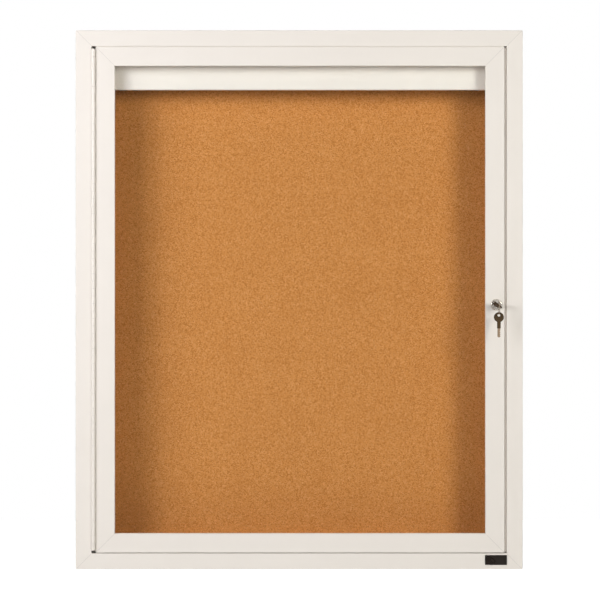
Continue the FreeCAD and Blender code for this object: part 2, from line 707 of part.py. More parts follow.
def build_rivets(label, side, wall):
    """Rivets through a leaf and the extrusion behind it, side being the way from the pin to them."""
    body = new_body(label)
    first = ("rivet_from_pin", "0 - rivet_span / 2")
    head = "knuckle_radius - leaf_thickness"
    shank = f"leaf_thickness + {wall}"
    behind = f"knuckle_radius + {wall}"
    stages = [
        (f"{head} - rivet_head_height", "rivet_head_radius", HEAD_SIDES, "rivet_head_height"),
        (head, "rivet_radius", SHANK_SIDES, shank),
        (behind, "1.4 * rivet_radius", HEAD_SIDES, "rivet_head_height"),
    ]
    drums = [add_drum(body, "YZ_Plane", times(side, start), first, flat, sides, length, reverse=side < 0)
             for start, flat, sides, length in stages]
    add_row(body, drums, "Z_Axis", "rivet_span", "rivet_count")
    place(body, across="pin_across", depth="pin_depth")


def build_hinge():
    build_leaf("hinge_cabinet_leaf", -1, 1, "knuckle_pairs")
    build_leaf("hinge_door_leaf", 1, 0, "(knuckle_pairs + 1)")
    build_rivets("hinge_cabinet_rivets", -1, "frame_wall")
    build_rivets("hinge_door_rivets", 1, "door_wall")
    pin = new_body("hinge_pin")
    shaft = new_sketch(pin, "Shaft", "XY_Plane")
    draw_circle(shaft, "0", "0", "pin_radius")
    add_pad(pin, shaft, "hinge_length", symmetric=True)
    for low in ("0 - hinge_length / 2 - pin_head_height", "hinge_length / 2"):
        add_drum(pin, "XY_Plane", low, ("0", "0"), "pin_head_radius", PIN_SIDES, "pin_head_height")
    place(pin, across="pin_across", depth="pin_depth")


def place_on_lock(body):
    place(body, across="lock_across", up="0 - lock_down")


def add_screw(body, plane, seat, centre, head_radius, head_height, radius, length):
    """A screw whose head lies below its seat and its shank above."""
    return [
        add_drum(body, plane, f"{seat} - {head_height}", centre, head_radius, HEAD_SIDES, head_height),
        add_drum(body, plane, seat, centre, radius, SHANK_SIDES, length),
    ]


def add_small_screw(body, plane, seat, centre, length):
    return add_screw(body, plane, seat, centre, "small_head_radius", "small_head_height",
                     "small_screw_radius", length)


def rounded_box(left, right, low, high, radius):
    """A box with rounded corners."""
    return [
        (f"{left} + {radius}", low),
        (f"{right} - {radius}", low, radius),
        (right, f"{low} + {radius}"),
        (right, f"{high} - {radius}", radius),
        (f"{right} - {radius}", high),
        (f"{left} + {radius}", high, radius),
        (left, f"{high} - {radius}"),
        (left, f"{low} + {radius}", radius),
    ]


def build_lock_housing():
    housing = new_body("lock_housing")
    bore = "plug_radius + plug_clearance"
    counterbore = "plug_radius + plug_flange + plug_clearance"
    add_turning(housing, backwards([
        (bore, "barrel_back"),
        ("barrel_round", "barrel_back"),
        ("barrel_round", "cabinet_depth"),
        ("lock_head_radius", "cabinet_depth"),
        ("lock_head_radius - lock_head_edge", "lock_face"),
        (counterbore, "lock_face"),
        (counterbore, "plug_shoulder - plug_clearance"),
        (bore, "plug_shoulder - plug_clearance"),
    ]), "V_Axis")
    flats = new_sketch(housing, "Flats", "XZ_Plane", "cabinet_depth")
    for sign in (1, -1):
        draw_box(flats, times(sign, "barrel_flat"), times(sign, "barrel_round + 1"),
                 "0 - barrel_round", "barrel_round")
    add_cut(housing, flats, "cabinet_depth - barrel_back")
    place_on_lock(housing)
    nut = new_body("lock_nut")
    outline = new_sketch(nut, "Hexagon", "XZ_Plane", "door_back - nut_thickness")
    draw_outline(outline, polygon("0", "0", "nut_flats / 2", 6))
    draw_outline(outline, polygon("0", "0", "barrel_round + hole_fit", NUT_BORE_SIDES))
    add_pad(nut, outline, "nut_thickness")
    place_on_lock(nut)


def build_lock_plug():
    plug = new_body("lock_plug")
    add_turning(plug, backwards([
        ("0", "cam_front"),
        ("plug_radius", "cam_front"),
        ("plug_radius", "plug_shoulder"),
        ("plug_radius + plug_flange", "plug_shoulder"),
        ("plug_radius + plug_flange", "plug_face"),
        ("0", "plug_face"),
    ]), "V_Axis")
    square = "cam_square / 2"
    tail = new_sketch(plug, "Tail", "XZ_Plane", "cam_back")
    draw_box(tail, f"0 - {square}", square, f"0 - {square}", square)
    add_pad(plug, tail, "cam_thickness")
    keyway = new_sketch(plug, "Keyway", "XZ_Plane", "plug_face")
    across = "(blade_width / 2 + key_clearance)"
    up = "(blade_thickness / 2 + key_clearance)"
    draw_outline(keyway, [
        (f"{across} * {x} * cos(key_tilt) + {up} * {z} * sin(key_tilt)",
         f"{up} * {z} * cos(key_tilt) - {across} * {x} * sin(key_tilt)")
        for x, z in ((-1, -1), (1, -1), (1, 1), (-1, 1))
    ])
    add_cut(plug, keyway, "keyway_depth")
    tapped = new_sketch(plug, "ScrewHole", "XZ_Plane", "cam_back")
    draw_outline(tapped, polygon("0", "0", "cam_screw_radius + hole_fit", SHANK_SIDES))
    add_cut(plug, tapped, "cam_screw_length + 1", onwards=True)
    place_on_lock(plug)

    cam = new_body("lock_cam")
    half = "cam_width / 2"
    plate = new_sketch(cam, "Plate", "XZ_Plane", "cam_back")
    draw_outline(plate, rounded_box(f"0 - {half}", half, "0 - cam_reach", half, "cam_round"))
    hole = "(cam_square / 2 + plug_clearance)"
    draw_box(plate, f"0 - {hole}", hole, f"0 - {hole}", hole)
    add_pad(cam, plate, "cam_thickness")
    place_on_lock(cam)

    screw = new_body("cam_screw")
    add_screw(screw, "XZ_Plane", "cam_back", ("0", "0"), "cam_screw_head", "cam_screw_head_height",
              "cam_screw_radius", "cam_screw_length")
    place_on_lock(screw)


def build_key(blade_label, bow_label, **where):
    """A key that points down from its shoulder, and its moulded bow."""
    blade = new_body(blade_label)
    half = "blade_width / 2"
    tang = "tang_width / 2"
    outline = new_sketch(blade, "Blade", "XZ_Plane")
    draw_outline(outline, [
        ("blade_point - blade_width / 2", "0 - blade_length"),
        (f"{half} - blade_point", "0 - blade_length"),
        (half, "blade_point - blade_length"),
        (half, "0"),
        (tang, "0"),
        (tang, "tang_length"),
        (f"0 - {tang}", "tang_length"),
        (f"0 - {tang}", "0"),
        (f"0 - {half}", "0"),
        (f"0 - {half}", "blade_point - blade_length"),
    ])
    add_pad(blade, outline, "blade_thickness", symmetric=True)
    cuts = new_sketch(blade, "Bit", "XZ_Plane")
    lowest = "2 * blade_point + bit_depth - blade_length"
    draw_outline(cuts, [
        (f"{half} - bit_depth", lowest),
        (f"{half} + 1", f"{lowest} - bit_depth - 1"),
        (f"{half} + 1", f"{lowest} + bit_depth + 1"),
    ])
    cut = add_cut(blade, cuts, "2 * blade_thickness", symmetric=True)
    add_row(blade, [cut], "Z_Axis", "2 * bit_pitch", 3)
    place(blade, **where)

    bow = new_body(bow_label)
    neck = "neck_width / 2"
    disc = new_sketch(bow, "Disc", "XZ_Plane")
    draw_outline(disc, polygon("0", "shoulder_to_bow", "bow_radius", BORE_SIDES))
    add_pad(bow, disc, "bow_thickness", symmetric=True)
    stem = new_sketch(bow, "Neck", "XZ_Plane")
    draw_box(stem, f"0 - {neck}", neck, "0", "shoulder_to_bow")
    add_pad(bow, stem, "bow_thickness", symmetric=True)
    hole = new_sketch(bow, "RingHole", "XZ_Plane")
    draw_outline(hole, polygon("0", "key_hole_reach", "key_hole_radius", HEAD_SIDES))
    add_cut(bow, hole, "2 * bow_thickness", symmetric=True)
    slot = new_sketch(bow, "TangSlot", "XZ_Plane")
    draw_box(slot, f"0 - {tang}", tang, "0", "tang_length")
    add_cut(bow, slot, "blade_thickness", symmetric=True)
    place(bow, **where)


def build_keys():
    build_key("key_blade", "key_bow", across="lock_across", depth="key_depth", up="0 - lock_down",
              axis=(1, 0, 0), turn=90, roll=size("key_tilt"))
    build_key("hanging_key_blade", "hanging_key_bow", across="lock_across", depth="ring_depth",
              up="hanging_hole_up - key_hole_reach")
    ring = new_body("key_ring")
    flat_ring = new_sketch(ring, "Ring", "YZ_Plane")
    for radius in ("ring_radius + ring_wire", "ring_radius - ring_wire"):
        draw_outline(flat_ring, polygon("0", "0", radius, RING_SIDES))
    add_pad(ring, flat_ring, "2 * ring_wire", symmetric=True)
    place(ring, across="lock_across", depth="ring_depth", up="ring_up")


def build_valance():
    """A strip with its lower edge folded back, screwed to the web of the top rail from behind."""
    body = new_body("light_valance")
    profile = new_sketch(body, "Profile", "YZ_Plane")
    low, top = "valance_low", "inside_top - valance_end_gap"
    corners = [
        ("valance_front", top),
        ("valance_front", f"{low} + valance_curve", "valance_curve"),
        ("valance_front - valance_curve", low),
        ("valance_front - valance_hem", low),
        ("valance_front - valance_hem", f"{low} + valance_sheet"),
        ("valance_front - valance_curve", f"{low} + valance_sheet", "valance_bend", "hollow"),
        ("valance_back", f"{low} + valance_curve"),
        ("valance_back", top),
    ]
    draw_outline(profile, [(f"0 - ({corner[0]})",) + corner[1:] for corner in corners])
    add_pad(body, profile, "2 * (half_width - frame_wall - valance_end_gap)", symmetric=True)
    first = "0 - valance_screw_span / 2"
    cut_hole_row(body, "XZ_Plane", "valance_front - valance_sheet / 2", "valance_sheet",
                 (first, "valance_screw_up"), "small_screw_radius + hole_fit",
                 "X_Axis", "valance_screw_span", "valance_screw_count")
    screws = new_body("valance_screws")
    screw = add_small_screw(screws, "XZ_Plane", "valance_back", (first, "valance_screw_up"),
                            "valance_screw_length")
    add_row(screws, screw, "X_Axis", "valance_screw_span", "valance_screw_count")


def build_batten():
    back, front = "0 - batten_back", "0 - batten_back - batten_width"
    batten = new_body("lamp_batten")
    profile = new_sketch(batten, "Profile", "YZ_Plane")
    draw_box(profile, front, back, "batten_low", "inside_top")
    draw_box(profile, f"{front} + batten_sheet", f"{back} - batten_sheet",
             "batten_low + batten_sheet", "inside_top - batten_sheet")
    add_pad(batten, profile, "batten_length", symmetric=True)
    first = "0 - batten_screw_span / 2"
    cut_hole_row(batten, "XY_Plane", "inside_top - batten_sheet / 2", "batten_sheet",
                 (first, "0 - lamp_depth"), "small_screw_radius + hole_fit",
                 "X_Axis", "batten_screw_span", 2)
    screws = new_body("batten_screws")
    screw = add_small_screw(screws, "XY_Plane", "inside_top - batten_sheet", (first, "0 - lamp_depth"),
                            "batten_sheet + frame_wall - screw_short")
    add_row(screws, screw, "X_Axis", "batten_screw_span", 2)

    ballast = new_body("ballast")
    section = new_sketch(ballast, "Section", "YZ_Plane")
    near, far = "0 - lamp_depth - ballast_width / 2", "ballast_width / 2 - lamp_depth"
    top = "inside_top - batten_sheet"
    bottom = f"{top} - ballast_height"
    draw_outline(section, [
        (f"{near} + ballast_edge", bottom),
        (f"{far} - ballast_edge", bottom),
        (far, f"{bottom} + ballast_edge"),
        (far, top),
        (near, top),
        (near, f"{bottom} + ballast_edge"),
    ])
    add_pad(ballast, section, "ballast_length", symmetric=True)


def draw_pins(sketch, radius):
    for sign in (1, -1):
        across = f"{times(sign, 'lamp_pin_offset')} - lamp_depth"
        draw_outline(sketch, polygon(across, "lamp_up", radius, SHANK_SIDES))


def hanging_plate(half_width, low, radius):
    """A plate under the batten with rounded lower corners, in a sketch across the lamp."""
    near, far = f"0 - lamp_depth - {half_width}", f"{half_width} - lamp_depth"
    return [
        (near, "batten_low"),
        (near, f"{low} + {radius}", radius),
        (f"{near} + {radius}", low),
        (f"{far} - {radius}", low, radius),
        (far, f"{low} + {radius}"),
        (far, "batten_low"),
    ]


def build_lamp():
    tube = new_body("lamp_tube")
    glass = new_sketch(tube, "Glass", "YZ_Plane")
    draw_circle(glass, "0 - lamp_depth", "lamp_up", "lamp_radius")
    add_pad(tube, glass, "lamp_length - 2 * lamp_cap_length", symmetric=True)

    caps = new_body("lamp_caps")
    cap = new_sketch(caps, "Cap", "YZ_Plane", "lamp_end - lamp_cap_length")
    draw_circle(cap, "0 - lamp_depth", "lamp_up", "lamp_cap_radius")
    metal = add_pad(caps, cap, "lamp_cap_length")
    contacts = new_sketch(caps, "Contacts", "YZ_Plane", "lamp_end")
    draw_pins(contacts, "lamp_pin_radius")
    pins = add_pad(caps, contacts, "lamp_pin_length")
    add_mirror(caps, [metal, pins], "YZ_Plane")

    holders = new_body("lamp_holders")
    plate = new_sketch(holders, "Plate", "YZ_Plane", "lamp_end")
    draw_outline(plate, hanging_plate("holder_half_width", "lamp_up - holder_half_width", "holder_round"))
    draw_pins(plate, "lamp_pin_radius + hole_fit")
    add_mirror(holders, [add_pad(holders, plate, "holder_thickness")], "YZ_Plane")

    housings = new_body("lamp_end_housings")
    shell = hanging_plate("housing_half_width", "lamp_up - housing_drop", "housing_round")
    inner = new_sketch(housings, "Inner", "YZ_Plane", "lamp_end - housing_length")
    draw_outline(inner, shell)
    draw_outline(inner, polygon("0 - lamp_depth", "lamp_up", "lamp_cap_radius + lamp_clearance", BORE_SIDES))
    outer = new_sketch(housings, "Outer", "YZ_Plane", "holder_end")
    draw_outline(outer, shell)
    blocks = [add_pad(housings, inner, "housing_length"), add_pad(housings, outer, "housing_length")]
    add_mirror(housings, blocks, "YZ_Plane")


def build_grommet():
    body = new_body("cable_grommet")
    for back, flat, length in (("frame_wall - grommet_lip", "grommet_flange", "grommet_lip"),
                               ("frame_wall", "grommet_neck", "cork_front - frame_wall"),
                               ("cork_front", "grommet_flange", "grommet_lip")):
        add_drum(body, "XZ_Plane", back, ("0", "0"), flat, GROMMET_SIDES, length)
    bore = new_sketch(body, "Bore", "XZ_Plane", "cork_front + grommet_lip")
    draw_circle(bore, "0", "0", "entry_radius")
    add_cut(body, bore, "cork_front - frame_wall + 2 * grommet_lip")
    place(body, across="entry_across", up="entry_up")


fill_sheet()
build_cabinet_frame()
build_corner_keys("cabinet_corner_keys", "half_width", "half_height", "frame_wall",
                  "frame_face - frame_wall", "stop_front", "cabinet_depth - frame_wall", "frame_key_leg", "0")
build_panel()
build_door_seal()
build_valance()
build_batten()
build_lamp()
build_grommet()
build_hinge()
build_door_frame()
build_corner_keys("door_corner_keys", "door_half_width", "door_half_height", "door_wall",
                  "groove_inset - door_wall", "door_back + door_wall", "groove_front", "door_key_leg",
                  "door_middle")
build_glazing()
build_lock_housing()
build_lock_plug()
build_keys()
doc.recompute()

for item in doc.Objects:
    if "Invalid" in item.State or "Error" in item.State:
        raise RuntimeError(f"{item.Label} was not built: {item.State}")
os.makedirs("parts", exist_ok=True)
for part in PARTS:
    if part.Shape.isNull() or not part.Shape.isValid():
        raise RuntimeError(f"{part.Label} has no valid shape")
    part.Shape.exportStep(f"parts/{part.Label}.step")
print(len(PARTS), "parts written")
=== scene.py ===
"""Looks of a wall-hung lockable notice board: coats, seals, hinge, lock, keys, lamp and a studio.

Metres, +Z up, +Y towards the wall. The origin is the middle of the wall fixings.
"""
import json
import math

import bmesh
import bpy
from bpy.props import FloatProperty, FloatVectorProperty, IntProperty, PointerProperty
from mathutils import Matrix, Vector


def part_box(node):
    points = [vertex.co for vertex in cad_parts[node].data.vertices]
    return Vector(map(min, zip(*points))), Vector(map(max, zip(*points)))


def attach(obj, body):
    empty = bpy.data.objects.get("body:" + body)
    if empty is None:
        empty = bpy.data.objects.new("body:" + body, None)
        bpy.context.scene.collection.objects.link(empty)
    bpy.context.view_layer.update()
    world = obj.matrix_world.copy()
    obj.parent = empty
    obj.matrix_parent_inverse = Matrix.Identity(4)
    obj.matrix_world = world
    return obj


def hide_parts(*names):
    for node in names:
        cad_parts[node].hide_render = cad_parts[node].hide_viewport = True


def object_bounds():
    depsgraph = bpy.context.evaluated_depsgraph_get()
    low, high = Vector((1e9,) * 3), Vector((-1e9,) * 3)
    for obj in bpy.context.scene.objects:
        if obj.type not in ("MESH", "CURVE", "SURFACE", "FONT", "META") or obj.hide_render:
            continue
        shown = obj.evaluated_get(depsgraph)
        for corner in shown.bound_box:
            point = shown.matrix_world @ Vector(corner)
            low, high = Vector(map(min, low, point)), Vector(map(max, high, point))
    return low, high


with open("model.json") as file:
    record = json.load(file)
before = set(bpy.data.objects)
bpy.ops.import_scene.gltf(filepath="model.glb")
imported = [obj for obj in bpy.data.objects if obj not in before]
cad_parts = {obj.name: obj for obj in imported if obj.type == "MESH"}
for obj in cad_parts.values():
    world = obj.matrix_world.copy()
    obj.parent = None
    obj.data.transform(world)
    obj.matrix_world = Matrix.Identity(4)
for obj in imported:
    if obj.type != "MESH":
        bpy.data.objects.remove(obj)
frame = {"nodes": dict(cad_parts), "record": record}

bl_info = {
    "name": "Lockable notice board",
    "version": (1, 0, 0),
    "blender": (4, 5, 0),
    "location": "3D View > Sidebar > Notice board",
    "description": "Dresses the solids of a wall-hung notice board and lights it",
    "category": "Object",
}

NODES = frame["nodes"]
BODY_OF = {node: body for body, nodes in frame["record"]["behaviour"]["bodies"].items() for node in nodes}
SLOT_OF = {part["node"]: part["material_slot"] for part in frame["record"]["subparts"]}
CAD_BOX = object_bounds()
FINISHES = {}
MM = 0.001
# Small round solids come from the frame as octagons: the ratio of their inner to their outer radius
OCTAGON = math.cos(math.pi / 8)


def length(name, description, default):
    return FloatProperty(name=name, description=description, default=default, min=0.0, precision=5,
                         subtype="DISTANCE", unit="LENGTH")


def colour(name, description, default):
    return FloatVectorProperty(name=name, description=description, default=default, size=3,
                               min=0.0, max=1.0, subtype="COLOR")


class BoardSizes(bpy.types.PropertyGroup):
    """Sizes that the solids leave open"""
    edge: length("Edge", "Rounding of the members' cut edges", 0.1 * MM)
    cabinet_wall: length("Cabinet wall", "Wall of the cabinet's members", 2.0 * MM)
    door_wall: length("Door wall", "Wall of the door's members", 1.8 * MM)
    small_edge: length("Small edge", "Rounding of small metal pieces", 0.15 * MM)
    head_edge: length("Head edge", "Rounding of the lock's head", 0.5 * MM)
    gap: length("Gap", "Gap above the door", 1.2 * MM)
    lip: length("Lip", "Thickness of the lip above the door", 1.2 * MM)
    lip_depth: length("Lip depth", "Face of the door to the lip above it", 1.8 * MM)
    lip_play: length("Lip play", "Play between the door and the lip above it", 0.2 * MM)
    knuckle: length("Knuckle", "Length of one hinge knuckle", 12.7 * MM)
    knuckle_gap: length("Knuckle gap", "Play between two knuckles", 0.3 * MM)
    leaf: length("Leaf", "Sheet of the hinge leaves", 1.6 * MM)
    knuckle_radius: length("Knuckle radius", "Outside radius of a knuckle", 3.5 * MM)
    rivet_radius: length("Rivet", "Radius of a hinge rivet's shank", 1.6 * MM)
    rivet_head: length("Rivet head", "Radius of a hinge rivet's head", 3.1 * MM)
    rivet_dome: length("Rivet dome", "Height of a hinge rivet's head", 1.1 * MM)
    rivets: IntProperty(name="Rivets", description="Rivets in each leaf", default=4, min=2)
    plate_width: length("Plate width", "Bare plate on the bottom rail", 37.4 * MM)
    plate_height: length("Plate height", "Bare plate on the bottom rail", 16.8 * MM)
    plate_thickness: length("Plate thickness", "Bare plate on the bottom rail", 0.8 * MM)
    plate_left: length("Plate's left edge", "Middle of the board to the plate's left edge", 315.6 * MM)
    plate_drop: length("Plate's drop", "Middle of the board down to the plate's middle", 442.1 * MM)
    ring_wire: length("Ring wire", "Width of the key ring's wire", 1.2 * MM)
    bow_radius: length("Bow", "Radius of a key's bow", 8.4 * MM)
    bow_thickness: length("Bow thickness", "Thickness of a key's bow", 2.5 * MM)
    neck_width: length("Neck", "Width of a key's neck", 6.0 * MM)
    shoulder_to_bow: length("Shoulder to bow", "Shoulder of a key to the middle of its bow", 18.9 * MM)
    bow_hole: length("Bow hole", "Radius of the hole in a key's bow", 2.4 * MM)
    hole_offset: length("Hole offset", "Middle of the bow to its hole", 3.2 * MM)
    key_tilt: FloatProperty(name="Key tilt", description="Turn of the key in the lock from level",
                            default=math.radians(40), min=0.0, max=math.radians(90), subtype="ANGLE")


class BoardColours(bpy.types.PropertyGroup):
    """Colours of the finishes, as linear values"""
    paint: colour("Paint", "Ivory powder coat", (0.865, 0.81, 0.75))
    # The strip's coat is the ivory paint lightened, painted light that makes up for the shade the strip
    # sits in behind the door's frame
    strip: colour("Strip", "Coat of the strip under the top rail", (0.905, 0.85, 0.785))
    # The hinge's coat is the ivory paint lightened, painted light that makes up for the shade in the gap
    # beside the door
    hinge_paint: colour("Hinge paint", "Ivory coat on the hinge", (0.90, 0.84, 0.77))
    cork: colour("Cork", "Cork granules", (0.68, 0.292, 0.083))
    cork_light: colour("Light cork", "Lighter granules", (0.79, 0.39, 0.145))
    cork_dark: colour("Dark cork", "Binder and dark granules", (0.49, 0.185, 0.042))
    hardboard: colour("Hardboard", "Tempered hardboard back", (0.17, 0.09, 0.045))
    chrome: colour("Chrome", "Lock", (0.80, 0.745, 0.67))
    bow: colour("Bow", "Moulded bow of a key", (0.085, 0.05, 0.02))
    key: colour("Key", "Blades and ring, dull nickel", (0.41, 0.30, 0.205))
    plate: colour("Plate", "Bare dark plate", (0.022, 0.015, 0.010))
    glass: colour("Glass", "Float glass", (0.99, 0.996, 0.992))


# Helpers for meshes

def link(obj):
    bpy.context.scene.collection.objects.link(obj)
    return obj


def remove(obj):
    bpy.data.objects.remove(obj, do_unlink=True)


def evaluated(obj):
    """The object's shape with its modifiers, as a plain mesh."""
    graph = bpy.context.evaluated_depsgraph_get()
    return bpy.data.meshes.new_from_object(obj.evaluated_get(graph))


def as_mesh(work, name):
    """What was built, as a new mesh."""
    mesh = bpy.data.meshes.new(name)
    work.to_mesh(mesh)
    work.free()
    return mesh


def tidy(mesh, gap=1e-6):
    """Merge doubles and turn the faces outwards."""
    work = bmesh.new()
    work.from_mesh(mesh)
    bmesh.ops.remove_doubles(work, verts=work.verts, dist=gap)
    bmesh.ops.recalc_face_normals(work, faces=work.faces)
    work.to_mesh(mesh)
    work.free()
    return mesh


def moved(mesh, matrix):
    mesh.transform(matrix)
    return mesh


def joined(*meshes):
    """Several meshes as one."""
    work = bmesh.new()
    for mesh in meshes:
        work.from_mesh(mesh)
    return as_mesh(work, "joined")


def modified(mesh, kind, **settings):
    """A mesh with one modifier applied."""
    obj = link(bpy.data.objects.new("modified", mesh))
    modifier = obj.modifiers.new("Modifier", kind)
    for name, value in settings.items():
        setattr(modifier, name, value)
    result = evaluated(obj)
    remove(obj)
    return result


def rounded(mesh, width, steps=2):
    """Bevel the sharp edges of a mesh."""
    return modified(mesh, "BEVEL", width=width, segments=steps, limit_method="ANGLE",
                    angle_limit=math.radians(40), use_clamp_overlap=False)


def even_shading(mesh):
    """Let the large faces keep their own direction, so that only the rounded edges turn the light."""
    return modified(mesh, "WEIGHTED_NORMAL", keep_sharp=True)


def block(low, high):
    """A box between two corners."""
    work = bmesh.new()
    bmesh.ops.create_cube(work, size=1)
    size = Vector(high) - Vector(low)
    middle = (Vector(high) + Vector(low)) / 2
    bmesh.ops.scale(work, vec=size, verts=work.verts)
    bmesh.ops.translate(work, vec=middle, verts=work.verts)
    return as_mesh(work, "block")


def turned(profile, sides=40):
    """A body of revolution about Z from (radius, height) points, a ring if none of them is on the axis."""
    work = bmesh.new()
    on_axis = min(radius for radius, _ in profile) < 1e-7
    loop = [work.verts.new((radius, 0, height)) for radius, height in profile]
    pairs = list(zip(loop, loop[1:])) + ([] if on_axis else [(loop[-1], loop[0])])
    edges = [work.edges.new(pair) for pair in pairs]
    bmesh.ops.spin(work, geom=loop + edges, cent=(0, 0, 0), axis=(0, 0, 1), angle=math.tau,
                   steps=sides, use_merge=True, use_duplicate=False)
    return tidy(as_mesh(work, "turned"))


def drawn(loops, thickness, edge, resolution=1):
    """A flat plate about Z = 0 from closed loops of (x, y), the first outside and the others holes."""
    curve = bpy.data.curves.new("drawn", "CURVE")
    curve.dimensions = "2D"
    curve.fill_mode = "BOTH"
    curve.bevel_mode = "ROUND"
    curve.bevel_depth = edge
    curve.bevel_resolution = resolution
    curve.offset = -edge
    curve.extrude = thickness / 2 - edge
    for loop in loops:
        spline = curve.splines.new("POLY")
        spline.points.add(len(loop) - 1)
        for point, (x, y) in zip(spline.points, loop):
            point.co = (x, y, 0, 1)
        spline.use_cyclic_u = True
    obj = link(bpy.data.objects.new("drawn", curve))
    mesh = evaluated(obj)
    remove(obj)
    bpy.data.curves.remove(curve)
    return tidy(mesh, 1e-7)


def circle(radius, x=0.0, y=0.0, sides=40, start=0.0, sweep=360.0):
    """Points on a circle or an arc, in degrees."""
    steps = sides if sweep == 360.0 else sides + 1
    return [(x + radius * math.cos(math.radians(start + sweep * step / sides)),
             y + radius * math.sin(math.radians(start + sweep * step / sides))) for step in range(steps)]


def along(axis):
    """A turn of +Z to an axis."""
    return Vector((0, 0, 1)).rotation_difference(Vector(axis)).to_matrix().to_4x4()


def add_piece(name, mesh, body, finish, nodes=(), smooth=32):
    """A finished piece: smooth where it is round, on its body, in place of its nodes."""
    mesh.materials.clear()
    mesh.materials.append(FINISHES[finish])
    mesh.polygons.foreach_set("use_smooth", [True] * len(mesh.polygons))
    mesh.set_sharp_from_angle(angle=math.radians(smooth))
    mesh = even_shading(mesh)
    mesh.name = name
    piece = link(bpy.data.objects.new(name, mesh))
    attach(piece, body)
    if nodes:
        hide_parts(*nodes)
    return piece


def soften(node, edge, finish=None, steps=2, smooth=24, trim=()):
    """A copy of a node with its edges rounded and its trim added, in its place."""
    mesh = NODES[node].data.copy()
    work = bmesh.new()
    work.from_mesh(mesh)
    bmesh.ops.remove_doubles(work, verts=work.verts, dist=2e-6)
    bmesh.ops.dissolve_limit(work, angle_limit=math.radians(0.5), verts=work.verts, edges=work.edges)
    work.to_mesh(mesh)
    work.free()
    return add_piece(node + "_finished", joined(rounded(mesh, edge, steps), *trim), BODY_OF[node],
                     finish or SLOT_OF[node], (node,), smooth)


# Helpers for node trees

class Tree:
    """A node tree with short ways to add nodes and join them."""

    def __init__(self, tree):
        self.tree = tree

    def add(self, kind, inputs=None, **settings):
        node = self.tree.nodes.new(kind)
        for name, value in settings.items():
            setattr(node, name, value)
        for name, value in (inputs or {}).items():
            if isinstance(value, bpy.types.NodeSocket):
                self.tree.links.new(value, node.inputs[name])
            else:
                node.inputs[name].default_value = value
        return node

    def join(self, source, target):
        self.tree.links.new(source, target)

    def calculate(self, operation, *values):
        return self.add("ShaderNodeMath", dict(enumerate(values)), operation=operation).outputs[0]

    def noise(self, place, scale, detail):
        inputs = {"Vector": place, "Scale": scale, "Detail": detail}
        return self.add("ShaderNodeTexNoise", inputs).outputs["Fac"]

    def spread(self, value, low, high, to_low=0.0, to_high=1.0):
        """A value's range stretched to another range."""
        inputs = {"Value": value, "From Min": low, "From Max": high, "To Min": to_low, "To Max": to_high}
        return self.add("ShaderNodeMapRange", inputs).outputs[0]

    def mix_colours(self, share, first, second):
        return self.add("ShaderNodeMix", {0: share, 6: first, 7: second}, data_type="RGBA").outputs[2]

    def mix_numbers(self, share, first, second):
        return self.add("ShaderNodeMix", {0: share, 2: first, 3: second}, data_type="FLOAT").outputs[0]

    def object_place(self):
        return self.add("ShaderNodeTexCoord").outputs["Object"]

    def axes(self, vector):
        """The X, Y and Z of a vector."""
        return self.add("ShaderNodeSeparateXYZ", {0: vector}).outputs

    def surface(self, inputs):
        """A material's main shader, joined to its output."""
        shader = self.add("ShaderNodeBsdfPrincipled", inputs)
        self.add("ShaderNodeOutputMaterial", {"Surface": shader.outputs[0]})


def new_group(name, kind, inputs, outputs):
    """A node group with sockets as (name, type, default); gives its tree, its inputs and its outputs."""
    tree = bpy.data.node_groups.new(name, kind)
    for title, socket, default in inputs:
        item = tree.interface.new_socket(name=title, in_out="INPUT", socket_type=socket)
        if default is not None:
            item.default_value = default
    for title, socket in outputs:
        tree.interface.new_socket(name=title, in_out="OUTPUT", socket_type=socket)
    made = Tree(tree)
    return made, made.add("NodeGroupInput").outputs, made.add("NodeGroupOutput").inputs


FLOAT, COLOUR, VECTOR = "NodeSocketFloat", "NodeSocketColor", "NodeSocketVector"


def make_mottle():
    """Soft patches and fine flecks between two colours."""
    tree, given, out = new_group("Mottle", "ShaderNodeTree", [
        ("Colour", COLOUR, (0.8, 0.8, 0.8, 1)), ("Other", COLOUR, (0.7, 0.7, 0.7, 1)),
        ("Patch Scale", FLOAT, 8.0), ("Fleck Scale", FLOAT, 600.0), ("Flecks", FLOAT, 0.3)],
        [("Colour", COLOUR)])
    place = tree.object_place()
    patch = tree.noise(place, given["Patch Scale"], detail=3.0)
    fleck = tree.noise(place, given["Fleck Scale"], detail=1.0)
    share = tree.spread(tree.mix_numbers(given["Flecks"], patch, fleck), low=0.35, high=0.65)
    mixed = tree.mix_colours(share, given["Colour"], given["Other"])
    tree.join(mixed, out["Colour"])


def make_handling():
    """Roughness that changes over the surface as from handling."""
    tree, given, out = new_group("Handling", "ShaderNodeTree", [
        ("Low", FLOAT, 0.3), ("High", FLOAT, 0.5), ("Scale", FLOAT, 25.0)], [("Roughness", FLOAT)])
    smears = tree.noise(tree.object_place(), given["Scale"], detail=4.0)
    roughness = tree.spread(smears, low=0.3, high=0.7, to_low=given["Low"], to_high=given["High"])
    tree.join(roughness, out["Roughness"])


def make_relief():
    """Height of a fine grain, or of lines where it is stretched."""
    tree, given, out = new_group("Relief", "ShaderNodeTree", [
        ("Scale", FLOAT, 700.0), ("Stretch", VECTOR, (1.0, 1.0, 1.0))], [("Height", FLOAT)])
    stretched = tree.add("ShaderNodeMapping", {"Vector": tree.object_place(),
                                               "Scale": given["Stretch"]})
    tree.join(tree.noise(stretched.outputs[0], given["Scale"], detail=2.0), out["Height"])


